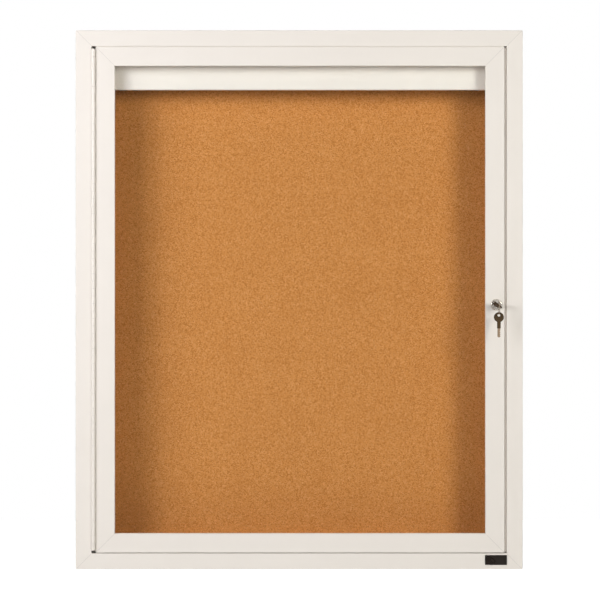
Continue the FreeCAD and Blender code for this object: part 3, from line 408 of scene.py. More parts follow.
def make_dust():
    """A little dust on what faces up."""
    tree, given, out = new_group("Dust", "ShaderNodeTree", [
        ("Colour", COLOUR, (0.8, 0.8, 0.8, 1)), ("Dust", COLOUR, (0.55, 0.52, 0.47, 1)),
        ("Amount", FLOAT, 0.15)], [("Colour", COLOUR)])
    coordinates = tree.add("ShaderNodeTexCoord")
    upper = tree.spread(tree.axes(coordinates.outputs["Normal"])["Z"], low=0.5, high=1.0)
    specks = tree.noise(coordinates.outputs["Object"], scale=90.0, detail=5.0)
    cover = tree.calculate("MULTIPLY", upper, specks)
    share = tree.calculate("MULTIPLY", cover, given["Amount"])
    mixed = tree.mix_colours(share, given["Colour"], given["Dust"])
    tree.join(mixed, out["Colour"])


def make_seam_shade():
    """Painted shade: a fine dark line where mitred members meet, on the diagonals through the corners of
    their frame, standing in for the shade in the joint.
    """
    tree, given, out = new_group("Seam", "ShaderNodeTree", [
        ("Colour", COLOUR, (0.8, 0.8, 0.8, 1)), ("Middle", FLOAT, 0.0), ("Offset", FLOAT, 0.08),
        ("Width", FLOAT, 0.45 * MM), ("Shade", FLOAT, 0.6)], [("Colour", COLOUR)])
    place = tree.axes(tree.object_place())
    across = tree.calculate("ABSOLUTE", tree.calculate("SUBTRACT", place["X"], given["Middle"]))
    up = tree.calculate("ABSOLUTE", place["Z"])
    lead = tree.calculate("SUBTRACT", up, across)
    away = tree.calculate("ABSOLUTE", tree.calculate("SUBTRACT", lead, given["Offset"]))
    line = tree.spread(away, low=0.0, high=given["Width"], to_low=given["Shade"])
    shaded = tree.add("ShaderNodeVectorMath", {"Vector": given["Colour"], "Scale": line},
                      operation="SCALE")
    tree.join(shaded.outputs[0], out["Colour"])


def place_group(tree, name, values):
    return tree.add("ShaderNodeGroup", values, node_tree=bpy.data.node_groups[name]).outputs[0]


def new_material(name):
    """The empty node tree of a new material, which is kept under its finish's name."""
    material = FINISHES[name] = bpy.data.materials.new(name + "_finish")
    material.use_nodes = True
    material.node_tree.nodes.clear()
    return Tree(material.node_tree)


def solid(rgb, factor=1.0):
    return tuple(min(1.0, channel * factor) for channel in rgb) + (1.0,)


def make_finish(name, rgb, shift=0.9, patch=8.0, fleck=600.0, flecks=0.3, rough=(0.35, 0.5), smears=25.0,
                grain=700.0, relief=0.05, depth=0.1, stretch=(1, 1, 1), dust=0.15, metal=0.0, specular=0.5,
                varnish=0.0, seam_shade=None):
    """A finish of two near tones with handling marks, a fine relief and dust on top, and a painted shade
    line along the mitres where its place is given.
    """
    tree = new_material(name)
    tone = place_group(tree, "Mottle", {"Colour": solid(rgb), "Other": solid(rgb, shift),
                                        "Patch Scale": patch, "Fleck Scale": fleck, "Flecks": flecks})
    # Painted shade: a darker line along the mitres of a frame's members
    if seam_shade:
        tone = place_group(tree, "Seam", {"Colour": tone, "Middle": seam_shade[0], "Offset": seam_shade[1]})
    dusty = place_group(tree, "Dust", {"Colour": tone, "Amount": dust})
    handling = place_group(tree, "Handling", {"Low": rough[0], "High": rough[1], "Scale": smears})
    height = place_group(tree, "Relief", {"Scale": grain, "Stretch": stretch})
    bump = tree.add("ShaderNodeBump", {"Strength": relief, "Distance": depth * MM, "Height": height})
    tree.surface({"Base Color": dusty, "Roughness": handling, "Normal": bump.outputs[0],
                  "Metallic": metal, "Specular IOR Level": specular, "Coat Weight": varnish})


def make_cork(name, colours):
    """Pressed cork: granules of several tones with a fine mealy grain and a few dark specks."""
    tree = new_material(name)
    place = tree.object_place()
    granules = tree.add("ShaderNodeTexVoronoi", {"Vector": place, "Scale": 620.0, "Randomness": 1.0})
    shade = tree.add("ShaderNodeSeparateColor", {0: granules.outputs["Color"]})
    ramp = tree.add("ShaderNodeValToRGB", {0: shade.outputs[0]})
    stops = ((0.0, colours.cork_dark), (0.12, colours.cork_dark), (0.3, colours.cork), (0.7, colours.cork),
             (1.0, colours.cork_light))
    while len(ramp.color_ramp.elements) < len(stops):
        ramp.color_ramp.elements.new(0.5)
    for element, (position, rgb) in zip(ramp.color_ramp.elements, stops):
        element.position = position
        element.color = solid(rgb)
    mealy = tree.noise(place, scale=450.0, detail=2.0)
    patches = tree.noise(place, scale=16.0, detail=5.0)
    share = tree.spread(tree.mix_numbers(0.25, mealy, patches), low=0.3, high=0.7, to_high=0.55)
    soft = tree.mix_colours(share, ramp.outputs[0], solid(colours.cork_dark))
    handling = place_group(tree, "Handling", {"Low": 0.85, "High": 0.98, "Scale": 60.0})
    bump = tree.add("ShaderNodeBump", {"Strength": 0.1, "Distance": 0.2 * MM,
                                       "Height": granules.outputs["Distance"]})
    tree.surface({"Base Color": soft, "Roughness": handling, "Normal": bump.outputs[0],
                  "Specular IOR Level": 0.04})


def make_glass(name, colours):
    """Clear float glass that lets the lamps' light through."""
    tree = new_material(name)
    wipe = place_group(tree, "Handling", {"Low": 0.0, "High": 0.015, "Scale": 6.0})
    shader = tree.add("ShaderNodeBsdfPrincipled", {
        "Base Color": solid(colours.glass), "Roughness": wipe, "IOR": 1.45, "Transmission Weight": 1.0})
    clear = tree.add("ShaderNodeBsdfTransparent", {"Color": solid(colours.glass)})
    path = tree.add("ShaderNodeLightPath").outputs
    indirect = tree.calculate("MAXIMUM", path["Is Shadow Ray"], path["Is Diffuse Ray"])
    mixed = tree.add("ShaderNodeMixShader", {0: indirect, 1: shader.outputs[0], 2: clear.outputs[0]})
    tree.add("ShaderNodeOutputMaterial", {"Surface": mixed.outputs[0]})


def end_tree(tree, geometry, given, out):
    """Let a geometry tree give real meshes in their finish."""
    real = tree.add("GeometryNodeRealizeInstances", {0: geometry})
    finished = tree.add("GeometryNodeSetMaterial", {"Geometry": real.outputs[0],
                                                    "Material": given["Finish"]})
    tree.join(finished.outputs[0], out["Geometry"])


def make_row():
    """Pieces set in a row, joined to what carries them."""
    tree, given, out = new_group("Row Of Pieces", "GeometryNodeTree", [
        ("Carrier", "NodeSocketGeometry", None), ("Piece", "NodeSocketObject", None),
        ("Count", "NodeSocketInt", 2), ("First", VECTOR, (0, 0, 0)), ("Step", VECTOR, (0, 0, 0.01)),
        ("Finish", "NodeSocketMaterial", None)], [("Geometry", "NodeSocketGeometry")])
    points = tree.add("GeometryNodeMeshLine", {"Count": given["Count"],
                                               "Start Location": given["First"],
                                               "Offset": given["Step"]}, mode="OFFSET")
    piece = tree.add("GeometryNodeObjectInfo", {"Object": given["Piece"]})
    copies = tree.add("GeometryNodeInstanceOnPoints", {"Points": points.outputs[0],
                                                       "Instance": piece.outputs["Geometry"]})
    both = tree.add("GeometryNodeJoinGeometry")
    tree.join(given["Carrier"], both.inputs[0])
    tree.join(copies.outputs[0], both.inputs[0])
    end_tree(tree, both.outputs[0], given, out)


def make_split_ring():
    """Flat wire wound into a ring of a few close turns."""
    tree, given, out = new_group("Split Ring", "GeometryNodeTree", [
        ("Carrier", "NodeSocketGeometry", None), ("Radius", FLOAT, 11 * MM), ("Wire", FLOAT, 1.2 * MM),
        ("Turns", FLOAT, 2.0), ("Finish", "NodeSocketMaterial", None)],
        [("Geometry", "NodeSocketGeometry")])
    turn = tree.calculate("DIVIDE", given["Wire"], given["Turns"])
    rise = tree.calculate("SUBTRACT", given["Wire"], turn)
    path = tree.add("GeometryNodeCurveSpiral", {
        "Resolution": 40, "Rotations": given["Turns"], "Start Radius": given["Radius"],
        "End Radius": given["Radius"], "Height": rise})
    # The section is a little smaller than its share of the wire, so that the turns show apart
    width = tree.calculate("MULTIPLY", given["Wire"], 0.98)
    height = tree.calculate("MULTIPLY", turn, 0.94)
    section = tree.add("GeometryNodeCurvePrimitiveQuadrilateral", {"Width": width, "Height": height})
    corner = tree.calculate("MULTIPLY", turn, 0.2)
    rounded_section = tree.add("GeometryNodeFilletCurve", {"Curve": section.outputs[0], "Radius": corner},
                               mode="POLY")
    wire = tree.add("GeometryNodeCurveToMesh", {
        "Curve": path.outputs[0], "Profile Curve": rounded_section.outputs[0], "Fill Caps": True})
    end_tree(tree, wire.outputs[0], given, out)


def grown(group, values, carrier=None):
    """The mesh that a geometry tree gives for the values of its inputs."""
    tree = bpy.data.node_groups[group]
    obj = link(bpy.data.objects.new("grown", carrier or bpy.data.meshes.new("carrier")))
    modifier = obj.modifiers.new("Grown", "NODES")
    modifier.node_group = tree
    sockets = {item.name: item.identifier for item in tree.interface.items_tree if item.in_out == "INPUT"}
    for name, value in values.items():
        modifier[sockets[name]] = value
    mesh = evaluated(obj)
    remove(obj)
    return mesh


def in_row(piece, count, first, step, finish, carrier=None):
    """Copies of a mesh in a row, on a carrier mesh."""
    sample = link(bpy.data.objects.new("sample", piece))
    values = {"Piece": sample, "Count": count, "First": tuple(first), "Step": tuple(step),
              "Finish": FINISHES[finish]}
    mesh = grown("Row Of Pieces", values, carrier)
    remove(sample)
    return mesh


# Operators

class BoardOperator:
    """What all the makers share."""
    bl_options = {"REGISTER", "UNDO"}

    @property
    def sizes(self):
        return bpy.context.scene.board_sizes

    @property
    def colours(self):
        return bpy.context.scene.board_colours

    def execute(self, context):
        self.make()
        return {"FINISHED"}


class BOARD_OT_finishes(BoardOperator, bpy.types.Operator):
    """Make every finish and put it on the solids"""
    bl_idname = "board.finishes"
    bl_label = "Finishes"

    def make(self):
        for maker in (make_mottle, make_handling, make_relief, make_dust, make_seam_shade, make_row,
                      make_split_ring):
            maker()
        colours = self.colours
        coat = {"rough": (0.34, 0.46), "grain": 900.0, "relief": 0.12, "depth": 0.12, "shift": 0.985}
        metal = {"metal": 1.0, "dust": 0.05}
        make_finish("paint", colours.paint, **coat)
        for frame_part in ("cabinet", "door"):
            # The frames' coats carry a painted shade line along their mitres, placed from each frame's top
            # rail
            low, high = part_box(frame_part + "_top_rail")
            seam_shade = ((low.x + high.x) / 2, high.z - (high.x - low.x) / 2)
            make_finish(frame_part + "_paint", colours.paint, seam_shade=seam_shade, **coat)
        # Painted light: the strip's ivory coat lightened against the shade of its recess
        make_finish("strip_paint_lightened", colours.strip, **coat)
        # Painted light: the hinge's ivory coat lightened against the shade of the gap it sits in
        make_finish("hinge_paint", colours.hinge_paint, **coat)
        make_finish("batten_paint", (0.8, 0.8, 0.78), **coat)
        make_finish("black_steel", (0.03, 0.03, 0.03), shift=0.8, rough=(0.3, 0.5))
        make_finish("cast_key", (0.55, 0.55, 0.54), rough=(0.4, 0.6), grain=1500.0, relief=0.3, **metal)
        make_finish("hardboard", colours.hardboard, shift=0.7, patch=12.0, fleck=500.0, flecks=0.5,
                    rough=(0.55, 0.8), grain=1400.0, relief=0.5, depth=0.3)
        make_finish("foam", (0.02, 0.02, 0.02), shift=0.6, rough=(0.8, 0.95), grain=2500.0, relief=0.6)
        make_finish("gasket", (0.60, 0.55, 0.48), shift=0.85, rough=(0.5, 0.7), grain=1800.0, relief=0.2)
        make_finish("grommet_rubber", (0.015, 0.015, 0.015), shift=0.7, rough=(0.5, 0.7), relief=0.2)
        make_finish("zinc", (0.62, 0.61, 0.58), shift=0.8, patch=300.0, rough=(0.25, 0.45), **metal)
        make_finish("pin_steel", (0.6, 0.57, 0.52), shift=0.85, rough=(0.3, 0.45), stretch=(1, 1, 0.05),
                    **metal)
        make_finish("rivet_metal", (0.7, 0.69, 0.66), rough=(0.25, 0.4), **metal)
        make_finish("lock_chrome", colours.chrome, shift=0.93, rough=(0.1, 0.2), smears=120.0, relief=0.02,
                    **metal)
        make_finish("key_metal", colours.key, shift=0.85, rough=(0.28, 0.42), smears=200.0,
                    stretch=(0.1, 1, 1), **metal)
        make_finish("key_plastic", colours.bow, shift=0.7, rough=(0.3, 0.45), grain=1600.0, relief=0.08,
                    specular=0.2)
        make_finish("lamp_glass", (0.85, 0.85, 0.83), shift=0.97, rough=(0.08, 0.15), relief=0.01)
        make_finish("lamp_metal", (0.75, 0.74, 0.72), rough=(0.25, 0.4), stretch=(0.1, 1, 1), **metal)
        make_finish("white_plastic", (0.8, 0.78, 0.73), shift=0.95, grain=1500.0)
        make_finish("dark_plastic", (0.06, 0.035, 0.022), shift=0.75, rough=(0.4, 0.55), grain=1500.0,
                    relief=0.1)
        make_finish("plate_metal", colours.plate, shift=0.7, rough=(0.22, 0.38), smears=60.0, relief=0.03,
                    varnish=0.3)
        make_cork("cork", colours)
        make_glass("glass", colours)
        for node, slot in SLOT_OF.items():
            data = NODES[node].data
            data.materials.clear()
            data.materials.append(FINISHES[slot])


class BOARD_OT_frames(BoardOperator, bpy.types.Operator):
    """Round the cut edges of the coated members and add the lip above the door"""
    bl_idname = "board.frames"
    bl_label = "Frames"

    def top_lip(self):
        """A thin lip in the gap above the door, like the one on the lock side."""
        sizes = self.sizes
        low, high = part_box("door_top_rail")
        face = low.y + sizes.lip_depth
        root = high.z + sizes.gap + sizes.lip / 2
        lip = block((low.x, face, high.z + sizes.lip_play), (high.x, face + sizes.lip, root))
        return rounded(lip, sizes.edge)

    def make(self):
        trim = {"cabinet_top_rail": [self.top_lip()]}
        for frame_part in ("cabinet", "door"):
            for member in ("top_rail", "bottom_rail", "left_stile", "right_stile"):
                node = f"{frame_part}_{member}"
                soften(node, self.sizes.edge, frame_part + "_paint", trim=trim.get(node, ()))
        # The strip wears the lightened coat, painted light against the shade of its recess
        soften("light_valance", self.sizes.edge, "strip_paint_lightened")
        soften("lamp_batten", self.sizes.edge)


def knuckle_outline(side, outer, sheet, reach):
    """Section of a rolled knuckle with its tab, about the pin, the leaf lying to one side."""
    inner = outer - sheet
    # Degrees that the sheet goes round the pin
    sweep = 298.0
    roll = circle(outer, sides=22, start=180.0, sweep=sweep)
    back = circle(inner, sides=18, start=180.0 + sweep, sweep=-sweep)
    tab = [(-inner, reach), (-outer, reach)]
    return [(-side * x, y) for x, y in roll + back + tab]


class BOARD_OT_hinge(BoardOperator, bpy.types.Operator):
    """Roll the knuckles of the two leaves about the pin and set the rivets"""
    bl_idname = "board.hinge"
    bl_label = "Hinge"

    def roll_leaves(self, pin):
        """A flat strip and its row of knuckles for each leaf, the two rows in turn up the pin."""
        sizes = self.sizes
        bottom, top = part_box("hinge_cabinet_leaf")
        pitch = sizes.knuckle
        reach = sizes.knuckle_radius + sizes.knuckle_gap
        overlap = 0.05 * MM
        count = round((top.z - bottom.z) / pitch)
        for node, side, first in (("hinge_cabinet_leaf", -1, 0), ("hinge_door_leaf", 1, 1)):
            low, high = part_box(node)
            faces = sorted((pin.x + side * sizes.knuckle_radius,
                            pin.x + side * (sizes.knuckle_radius - sizes.leaf)))
            strip = rounded(block((faces[0], pin.y + reach - overlap, low.z), (faces[1], high.y, high.z)),
                            sizes.small_edge)
            outline = knuckle_outline(side, sizes.knuckle_radius, sizes.leaf, reach)
            knuckle = drawn([outline], pitch - sizes.knuckle_gap, sizes.small_edge)
            start = Vector((pin.x, pin.y, bottom.z + (first + 0.5) * pitch))
            mesh = in_row(knuckle, (count + 1 - first) // 2, start, (0, 0, 2 * pitch), "hinge_paint", strip)
            add_piece(node + "_rolled", mesh, BODY_OF[node], "hinge_paint", (node,))

    def rivet(self, grip):
        """A rivet along +Z, its domed head before the origin and its tail behind what it holds."""
        sizes = self.sizes
        head, shank, dome = sizes.rivet_head, sizes.rivet_radius, sizes.rivet_dome
        tail = 1.4 * shank
        profile = []
        for degrees in (0, 20, 40, 60, 80):
            angle = math.radians(degrees)
            profile.append((head * math.sin(angle), -dome * math.cos(angle)))
        profile += [(head, 0), (shank, 0), (shank, grip), (tail, grip), (tail, grip + 0.7 * dome),
                    (0.6 * tail, grip + dome), (0, grip + dome)]
        return turned(profile, 20)

    def set_rivets(self, pin):
        """A row of rivets through each leaf and the wall that it lies on."""
        sizes = self.sizes
        inner = sizes.knuckle_radius - sizes.leaf
        for node, side, wall in (("hinge_cabinet_rivets", -1, sizes.cabinet_wall),
                                 ("hinge_door_rivets", 1, sizes.door_wall)):
            low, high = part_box(node)
            rivet = moved(self.rivet(sizes.leaf + wall), along((side, 0, 0)))
            middle = (low + high) / 2
            span = high.z - low.z - 2 * sizes.rivet_head / OCTAGON
            start = Vector((pin.x + side * inner, middle.y, middle.z - span / 2))
            step = (0, 0, span / (sizes.rivets - 1))
            mesh = in_row(rivet, sizes.rivets, start, step, "rivet_metal")
            add_piece(node + "_domed", mesh, BODY_OF[node], "rivet_metal", (node,))

    def turn_pin(self, pin, low, high):
        """The pin, its two ends peened a little wider than its shaft."""
        shaft = 1.85 * MM
        ends = 1.2 * MM
        widest = 0.98 * (high.x - low.x) / 2
        tip = 0.6 * (high.x - low.x) / 2
        profile = [(0, low.z), (tip, low.z), (widest, low.z + 0.5 * ends), (widest, low.z + ends),
                   (shaft, low.z + ends), (shaft, high.z - ends), (widest, high.z - ends),
                   (widest, high.z - 0.5 * ends), (tip, high.z), (0, high.z)]
        mesh = moved(turned(profile, 24), Matrix.Translation((pin.x, pin.y, 0)))
        add_piece("hinge_pin_turned", mesh, "cabinet", "pin_steel", ("hinge_pin",))

    def make(self):
        low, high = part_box("hinge_pin")
        pin = (low + high) / 2
        self.roll_leaves(pin)
        self.set_rivets(pin)
        self.turn_pin(pin, low, high)


class BOARD_OT_lock(BoardOperator, bpy.types.Operator):
    """Round the edges of the lock's pieces"""
    bl_idname = "board.lock"
    bl_label = "Lock"

    def make(self):
        soften("lock_housing", self.sizes.head_edge, steps=3, smooth=35)
        for node in ("lock_plug", "lock_nut", "lock_cam"):
            soften(node, self.sizes.small_edge, smooth=35)


class BOARD_OT_keys(BoardOperator, bpy.types.Operator):
    """Mould the bows of the keys, round the edges of the blades and wind the ring"""
    bl_idname = "board.keys"
    bl_label = "Keys"

    def bow(self):
        """A bow with a rounded edge, a sunk panel on each side and a hole, its shoulder at the origin."""
        sizes = self.sizes
        radius, thickness, hole = sizes.bow_radius, sizes.bow_thickness, sizes.bow_hole
        neck = sizes.neck_width / 2
        middle = sizes.shoulder_to_bow
        hole_place = middle + sizes.hole_offset
        corner, rim_edge, core_edge, eye_wall = 0.4 * MM, 0.45 * MM, 0.2 * MM, 0.7 * MM
        core_sunk, eye_sunk = 0.35 * MM, 0.05 * MM
        # The core reaches a little under the rim
        opening, core_radius = 0.72 * radius, 0.78 * radius
        meet = math.degrees(math.asin(neck / radius))
        outline = circle(radius, 0, middle, 44, -90 + meet, 360 - 2 * meet)
        outline += [(-neck, corner), (-neck + corner, 0), (neck - corner, 0), (neck, corner)]
        bore = circle(hole, 0, hole_place, 20)
        rim = drawn([outline, circle(opening, 0, middle, 32)], thickness, rim_edge)
        core = drawn([circle(core_radius, 0, middle, 32), bore], thickness - 2 * core_sunk, core_edge)
        eye = drawn([circle(hole + eye_wall, 0, hole_place, 24), bore], thickness - 2 * eye_sunk, core_edge)
        return joined(rim, core, eye)

    def wind_ring(self):
        """The split ring in the plane of its node's closed one."""
        sizes = self.sizes
        low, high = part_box("key_ring")
        radius = (high.z - low.z - sizes.ring_wire) / 2
        ring = grown("Split Ring", {"Radius": radius, "Wire": sizes.ring_wire, "Turns": 2.0,
                                    "Finish": FINISHES["key_metal"]})
        heights = [vertex.co.z for vertex in ring.vertices]
        centred = Matrix.Translation((0, 0, -(min(heights) + max(heights)) / 2))
        place = Matrix.Translation((low + high) / 2) @ Matrix.Rotation(math.pi / 2, 4, "Y")
        add_piece("key_ring_wound", moved(tidy(ring), place @ centred), "ring", "key_metal", ("key_ring",))

    def make(self):
        low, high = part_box("key_blade")
        x, z = (low.x + high.x) / 2, (low.z + high.z) / 2
        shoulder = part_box("key_bow")[1].y
        out = (Matrix.Translation((x, shoulder, z)) @ Matrix.Rotation(self.sizes.key_tilt, 4, "Y")
               @ Matrix.Rotation(math.pi, 4, "Z"))
        add_piece("key_bow_moulded", moved(self.bow(), out), "key", "key_plastic", ("key_bow",))
        low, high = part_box("hanging_key_bow")
        down = Matrix.Translation((x, (low.y + high.y) / 2, low.z)) @ Matrix.Rotation(math.pi / 2, 4, "X")
        add_piece("hanging_key_bow_moulded", moved(self.bow(), down), "hanging_key", "key_plastic",
                  ("hanging_key_bow",))
        for node in ("key_blade", "hanging_key_blade"):
            soften(node, self.sizes.small_edge)
        self.wind_ring()


class BOARD_OT_screws(BoardOperator, bpy.types.Operator):
    """Cut a cross into the heads of the small screws"""
    bl_idname = "board.screws"
    bl_label = "Screws"

    def screw(self, head, height, radius, shank):
        """A pan-head screw, its shank along +Z from the origin."""
        arm, slot = 0.55 * head, 0.16 * head
        quarter = [(slot, arm), (slot, slot), (arm, slot)]
        cross = []
        for _ in range(4):
            cross += quarter
            quarter = [(y, -x) for x, y in quarter]
        cap, edge = 0.7 * height, 0.2 * height
        floor, foot = 0.35 * height, 0.93 * head
        top = moved(drawn([circle(head, sides=28), cross], cap, edge, 2),
                    Matrix.Translation((0, 0, cap / 2 - height)))
        base = turned([(0, -floor), (foot, -floor), (foot, 0), (radius, 0), (radius, shank - 0.6 * radius),
                       (0.5 * radius, shank), (0, shank)], 24)
        return joined(top, base)

    def make(self):
        low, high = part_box("valance_screws")
        count = 4
        radius = 1.5 * MM
        head = (high.z - low.z) / 2 * OCTAGON
        height = 1.8 * MM
        mesh = moved(self.screw(head, height, radius, high.y - low.y - height), along((0, -1, 0)))
        reach = (high.x - low.x) / 2 - (high.z - low.z) / 2
        first = (-reach, high.y - height, (low.z + high.z) / 2)
        row = in_row(mesh, count, first, (2 * reach / (count - 1), 0, 0), "zinc")
        add_piece("valance_screws_cut", row, "cabinet", "zinc", ("valance_screws",))


class BOARD_OT_lamp(BoardOperator, bpy.types.Operator):
    """Blow the tube, spin its caps and round the edges of its holders"""
    bl_idname = "board.lamp"
    bl_label = "Lamp"

    pin_length = 6 * MM
    pin_radius = 1.2 * MM
    pin_offset = 6.35 * MM
    holder_edge = 0.5 * MM

    def tube(self, radius, half):
        """The glass tube along Z, drawn in a little at both ends."""
        ends = [(0, half), (0.9 * radius, half), (0.96 * radius, half - 2 * MM), (radius, half - 6 * MM)]
        lower = [(across, -up) for across, up in ends]
        return turned(lower + ends[::-1])

    def cap(self, radius, near, end):
        """A metal cap along Z from the tube's end to its own."""
        neck = 0.96 * radius
        return turned([(0, near), (0.97 * radius, near), (radius, near + 0.4 * MM),
                       (radius, near + 1.6 * MM), (neck, near + 2.2 * MM), (neck, end - 1.2 * MM),
                       (0.86 * radius, end), (0, end)], 36)

    def contact(self, end):
        """A contact pin along Z, from the end of its cap."""
        radius, tip = self.pin_radius, end + self.pin_length
        edge = radius / 2
        return turned([(0, end), (radius, end), (radius, tip - edge), (radius - edge, tip), (0, tip)], 12)

    def make(self):
        low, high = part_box("lamp_tube")
        axis = (low + high) / 2
        half = (high.x - low.x) / 2
        tube = moved(self.tube((high.z - low.z) / 2, half), Matrix.Translation(axis) @ along((1, 0, 0)))
        add_piece("lamp_tube_blown", tube, "cabinet", "lamp_glass", ("lamp_tube",))
        low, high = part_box("lamp_caps")
        end = (high.x - low.x) / 2 - self.pin_length
        caps = []
        for way in (along((1, 0, 0)), along((-1, 0, 0))):
            caps.append(moved(self.cap((high.z - low.z) / 2, half, end), Matrix.Translation(axis) @ way))
            for offset in (self.pin_offset, -self.pin_offset):
                place = Matrix.Translation(axis + Vector((0, offset, 0))) @ way
                caps.append(moved(self.contact(end), place))
        add_piece("lamp_caps_spun", joined(*caps), "cabinet", "lamp_metal", ("lamp_caps",))
        for node in ("lamp_holders", "lamp_end_housings"):
            soften(node, self.holder_edge)


class BOARD_OT_panel(BoardOperator, bpy.types.Operator):
    """Turn the rubber cable entry of the back panel"""
    bl_idname = "board.panel"
    bl_label = "Panel"

    def make(self):
        low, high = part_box("cable_grommet")
        middle = (low + high) / 2
        # The flange and the neck stay just inside the node's faceted ones
        flange = (high.z - low.z) / 2 * math.cos(math.pi / 20) * 0.999
        half = (high.y - low.y) / 2
        lip, neck, bore, edge = 1.4 * MM, 7.5 * MM * 0.985, 5.0 * MM, 0.4 * MM
        side = [(bore, 0), (bore, half - edge), (bore + edge, half), (flange - edge, half),
                (flange, half - edge), (flange, half - lip + edge), (flange - edge, half - lip),
                (neck, half - lip)]
        profile = side + [(radius, -height) for radius, height in reversed(side[1:])]
        mesh = moved(turned(profile), Matrix.Translation(middle) @ along((0, 1, 0)))
        add_piece("cable_grommet_moulded", mesh, "cabinet", "grommet_rubber", ("cable_grommet",))


class BOARD_OT_plate(BoardOperator, bpy.types.Operator):
    """Fix the bare dark plate to the bottom rail"""
    bl_idname = "board.plate"
    bl_label = "Plate"

    def make(self):
        sizes = self.sizes
        width, height, thickness = sizes.plate_width, sizes.plate_height, sizes.plate_thickness
        corner, rim_width, rim_edge = 1.2 * MM, 1.1 * MM, 0.15 * MM
        sunk, field_edge = 0.1 * MM, 0.05 * MM
        outline = []
        for x, y, start in ((1, 1, 0), (-1, 1, 90), (-1, -1, 180), (1, -1, 270)):
            outline += circle(corner, x * (width / 2 - corner), y * (height / 2 - corner), 5, start, 90)
        inner = [(x * (1 - 2 * rim_width / width), y * (1 - 2 * rim_width / height)) for x, y in outline]
        rim = drawn([outline, inner], thickness, rim_edge)
        # The field reaches under the rim
        across, up = 0.97, 0.93
        field = drawn([[(across * x, up * y) for x, y in outline]], thickness - 2 * sunk, field_edge)
        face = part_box("cabinet_bottom_rail")[0].y
        # The plate's back lies a hair behind the rail's face, so that no light shows under it
        seat = 0.05 * MM
        middle = (sizes.plate_left + width / 2, face - thickness / 2 + seat, -sizes.plate_drop)
        mesh = moved(joined(rim, field), Matrix.Translation(middle) @ Matrix.Rotation(math.pi / 2, 4, "X"))
        add_piece("bare_plate", mesh, "cabinet", "plate_metal")


def add_lamp(name, place, target, width, height, power, tint=(1, 1, 1)):
    data = bpy.data.lights.new(name, "AREA")
    data.shape = "RECTANGLE"
    data.size = width
    data.size_y = height
    data.energy = power
    data.color = tint
    lamp = link(bpy.data.objects.new(name, data))
    lamp.location = place
    lamp.visible_camera = False
    lamp.rotation_mode = "QUATERNION"
    lamp.rotation_quaternion = (Vector(target) - Vector(place)).to_track_quat("-Z", "Y")


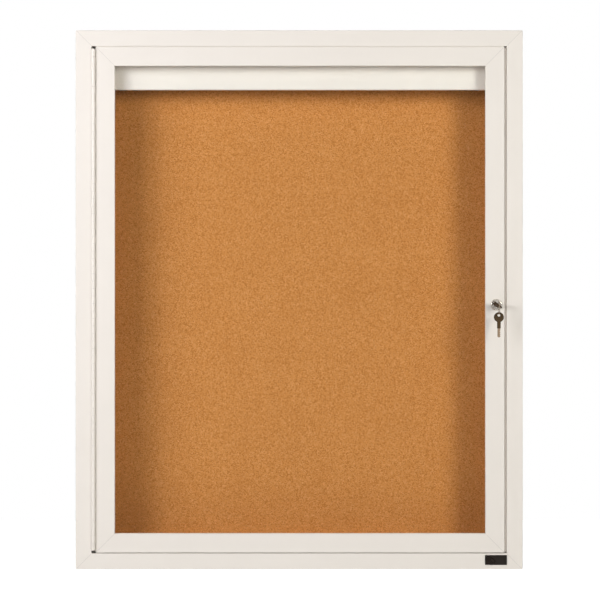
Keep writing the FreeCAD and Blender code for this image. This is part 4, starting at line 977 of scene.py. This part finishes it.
class BOARD_OT_stage(BoardOperator, bpy.types.Operator):
    """Set up the floor, the soft lamps, the pale surroundings and the camera"""
    bl_idname = "board.stage"
    bl_label = "Stage"

    # The camera: metres before the front face, its lens in pixels of a picture this wide, and its place
    distance = 2.74
    focal_pixels = 1612.5
    frame_pixels = 600
    camera_right = 1.4 * MM
    camera_low = 0.4 * MM
    # The floor: metres below the board, its half width and its thickness
    drop = 0.75
    floor_reach = 6
    floor_thickness = 0.02
    # name, degrees from straight ahead, distance, height, width, power and tint
    lamps = (("left_lamp", -52, 3.6, 0.75, 1.5, 43, (1.0, 1.0, 0.95)),
             ("near_lamp", -40, 2.0, 0.65, 0.75, 16.2, (1.0, 1.0, 1.1)),
             ("right_lamp", 34, 3.6, 0.75, 1.1, 61.5, (1.0, 0.99, 0.93)),
             ("back_lamp", 145, 4.2, 1.3, 1.5, 45, (1.0, 1.0, 1.0)))
    lamp_height = 1.2
    # The card: how far to the right it stands and aims, its width, height and power
    card_right = 0.9
    card_aim = 0.335
    card = (0.46, 0.9, 1.8)

    def lay_floor(self, under):
        """A pale floor, white where the camera sees it and dimmer in what mirrors it."""
        tree = new_material("floor_white")
        path = tree.add("ShaderNodeLightPath").outputs
        tone = tree.mix_colours(path["Is Glossy Ray"], (0.9, 0.9, 0.9, 1), (0.3, 0.3, 0.3, 1))
        # The part of the floor behind the board is also white through the glass of the open door
        beyond = tree.spread(tree.axes(tree.object_place())["Y"], low=0.0, high=0.5)
        through = tree.calculate("MULTIPLY", path["Is Transmission Ray"], beyond)
        seen = tree.calculate("MAXIMUM", path["Is Camera Ray"], through)
        glow = tree.calculate("MULTIPLY", seen, 0.95)
        tree.surface({"Base Color": tone, "Roughness": 0.8, "Emission Color": (1, 1, 1, 1),
                      "Emission Strength": glow})
        reach, top = self.floor_reach, under - self.drop
        floor = block((-reach, -reach, top - self.floor_thickness), (reach, reach, top))
        floor.materials.append(FINISHES["floor_white"])
        link(bpy.data.objects.new("floor", floor))

    def paint_room(self):
        """White surroundings behind the board and a dim room before it."""
        world = bpy.data.worlds.new("room")
        world.use_nodes = True
        world.node_tree.nodes.clear()
        tree = Tree(world.node_tree)
        path = tree.add("ShaderNodeLightPath").outputs
        towards_wall = tree.axes(tree.add("ShaderNodeTexCoord").outputs["Generated"])["Y"]
        behind = tree.spread(towards_wall, low=-0.25, high=0.25)
        before = tree.spread(towards_wall, low=-0.99, high=-0.6, to_low=0.06, to_high=0.25)
        # What glass and metal show is sharp, and brighter than what lights the board
        sharp = tree.calculate("MAXIMUM", path["Is Transmission Ray"], path["Is Glossy Ray"])
        beyond = tree.calculate("MULTIPLY", sharp, behind)
        white = tree.calculate("MAXIMUM", path["Is Camera Ray"], beyond)
        strength = tree.mix_numbers(sharp, 0.01, before)
        room = tree.add("ShaderNodeBackground", {"Color": (1.0, 0.985, 0.965, 1), "Strength": strength})
        backdrop = tree.add("ShaderNodeBackground", {"Color": (1, 1, 1, 1), "Strength": 1.0})
        mixed = tree.add("ShaderNodeMixShader", {0: white, 1: room.outputs[0], 2: backdrop.outputs[0]})
        tree.add("ShaderNodeOutputWorld", {"Surface": mixed.outputs[0]})
        bpy.context.scene.world = world

    def hang_lamps(self, nearest):
        """Soft lamps round the board, placed from its nearest point."""
        for name, turn, away, high, width, power, tint in self.lamps:
            angle = math.radians(turn)
            place = (away * math.sin(angle), nearest - away * math.cos(angle), high)
            add_lamp(name, place, (0, nearest, 0), width, self.lamp_height, power, tint)
        # A dim card beside the camera, which the lock mirrors and the glass doesn't
        place = (self.card_right, nearest - self.distance, 0)
        add_lamp("card", place, (self.card_aim, nearest, 0), *self.card)

    def set_camera(self, front):
        camera = bpy.data.cameras.new("camera")
        camera.sensor_width = 36.0
        camera.lens = self.focal_pixels / self.frame_pixels * camera.sensor_width
        view = link(bpy.data.objects.new("camera", camera))
        view.location = (self.camera_right, front - self.distance, -self.camera_low)
        view.rotation_euler = (math.pi / 2, 0, 0)
        bpy.context.scene.camera = view

    def make(self):
        bpy.context.scene.view_settings.view_transform = "Standard"
        low = CAD_BOX[0]
        self.lay_floor(low.z)
        self.paint_room()
        self.hang_lamps(low.y)
        self.set_camera(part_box("cabinet_top_rail")[0].y)


class BOARD_PT_panel(bpy.types.Panel):
    """Sizes, colours and makers of the notice board"""
    bl_idname = "BOARD_PT_panel"
    bl_label = "Notice board"
    bl_space_type = "VIEW_3D"
    bl_region_type = "UI"
    bl_category = "Notice board"

    def draw(self, context):
        for group in (context.scene.board_sizes, context.scene.board_colours):
            box = self.layout.box()
            for name in group.bl_rna.properties.keys():
                if name not in ("rna_type", "name"):
                    box.prop(group, name)
        for maker in MAKERS:
            self.layout.operator(maker.bl_idname)


MAKERS = (BOARD_OT_finishes, BOARD_OT_frames, BOARD_OT_hinge, BOARD_OT_lock, BOARD_OT_keys, BOARD_OT_screws,
          BOARD_OT_lamp, BOARD_OT_panel, BOARD_OT_plate, BOARD_OT_stage)
CLASSES = (BoardSizes, BoardColours, *MAKERS, BOARD_PT_panel)


def register():
    for item in CLASSES:
        bpy.utils.register_class(item)
    bpy.types.Scene.board_sizes = PointerProperty(type=BoardSizes)
    bpy.types.Scene.board_colours = PointerProperty(type=BoardColours)


def unregister():
    del bpy.types.Scene.board_colours
    del bpy.types.Scene.board_sizes
    for item in reversed(CLASSES):
        bpy.utils.unregister_class(item)


def main():
    register()
    for maker in MAKERS:
        group, name = maker.bl_idname.split(".")
        getattr(getattr(bpy.ops, group), name)()


if __name__ == "__main__":
    main()
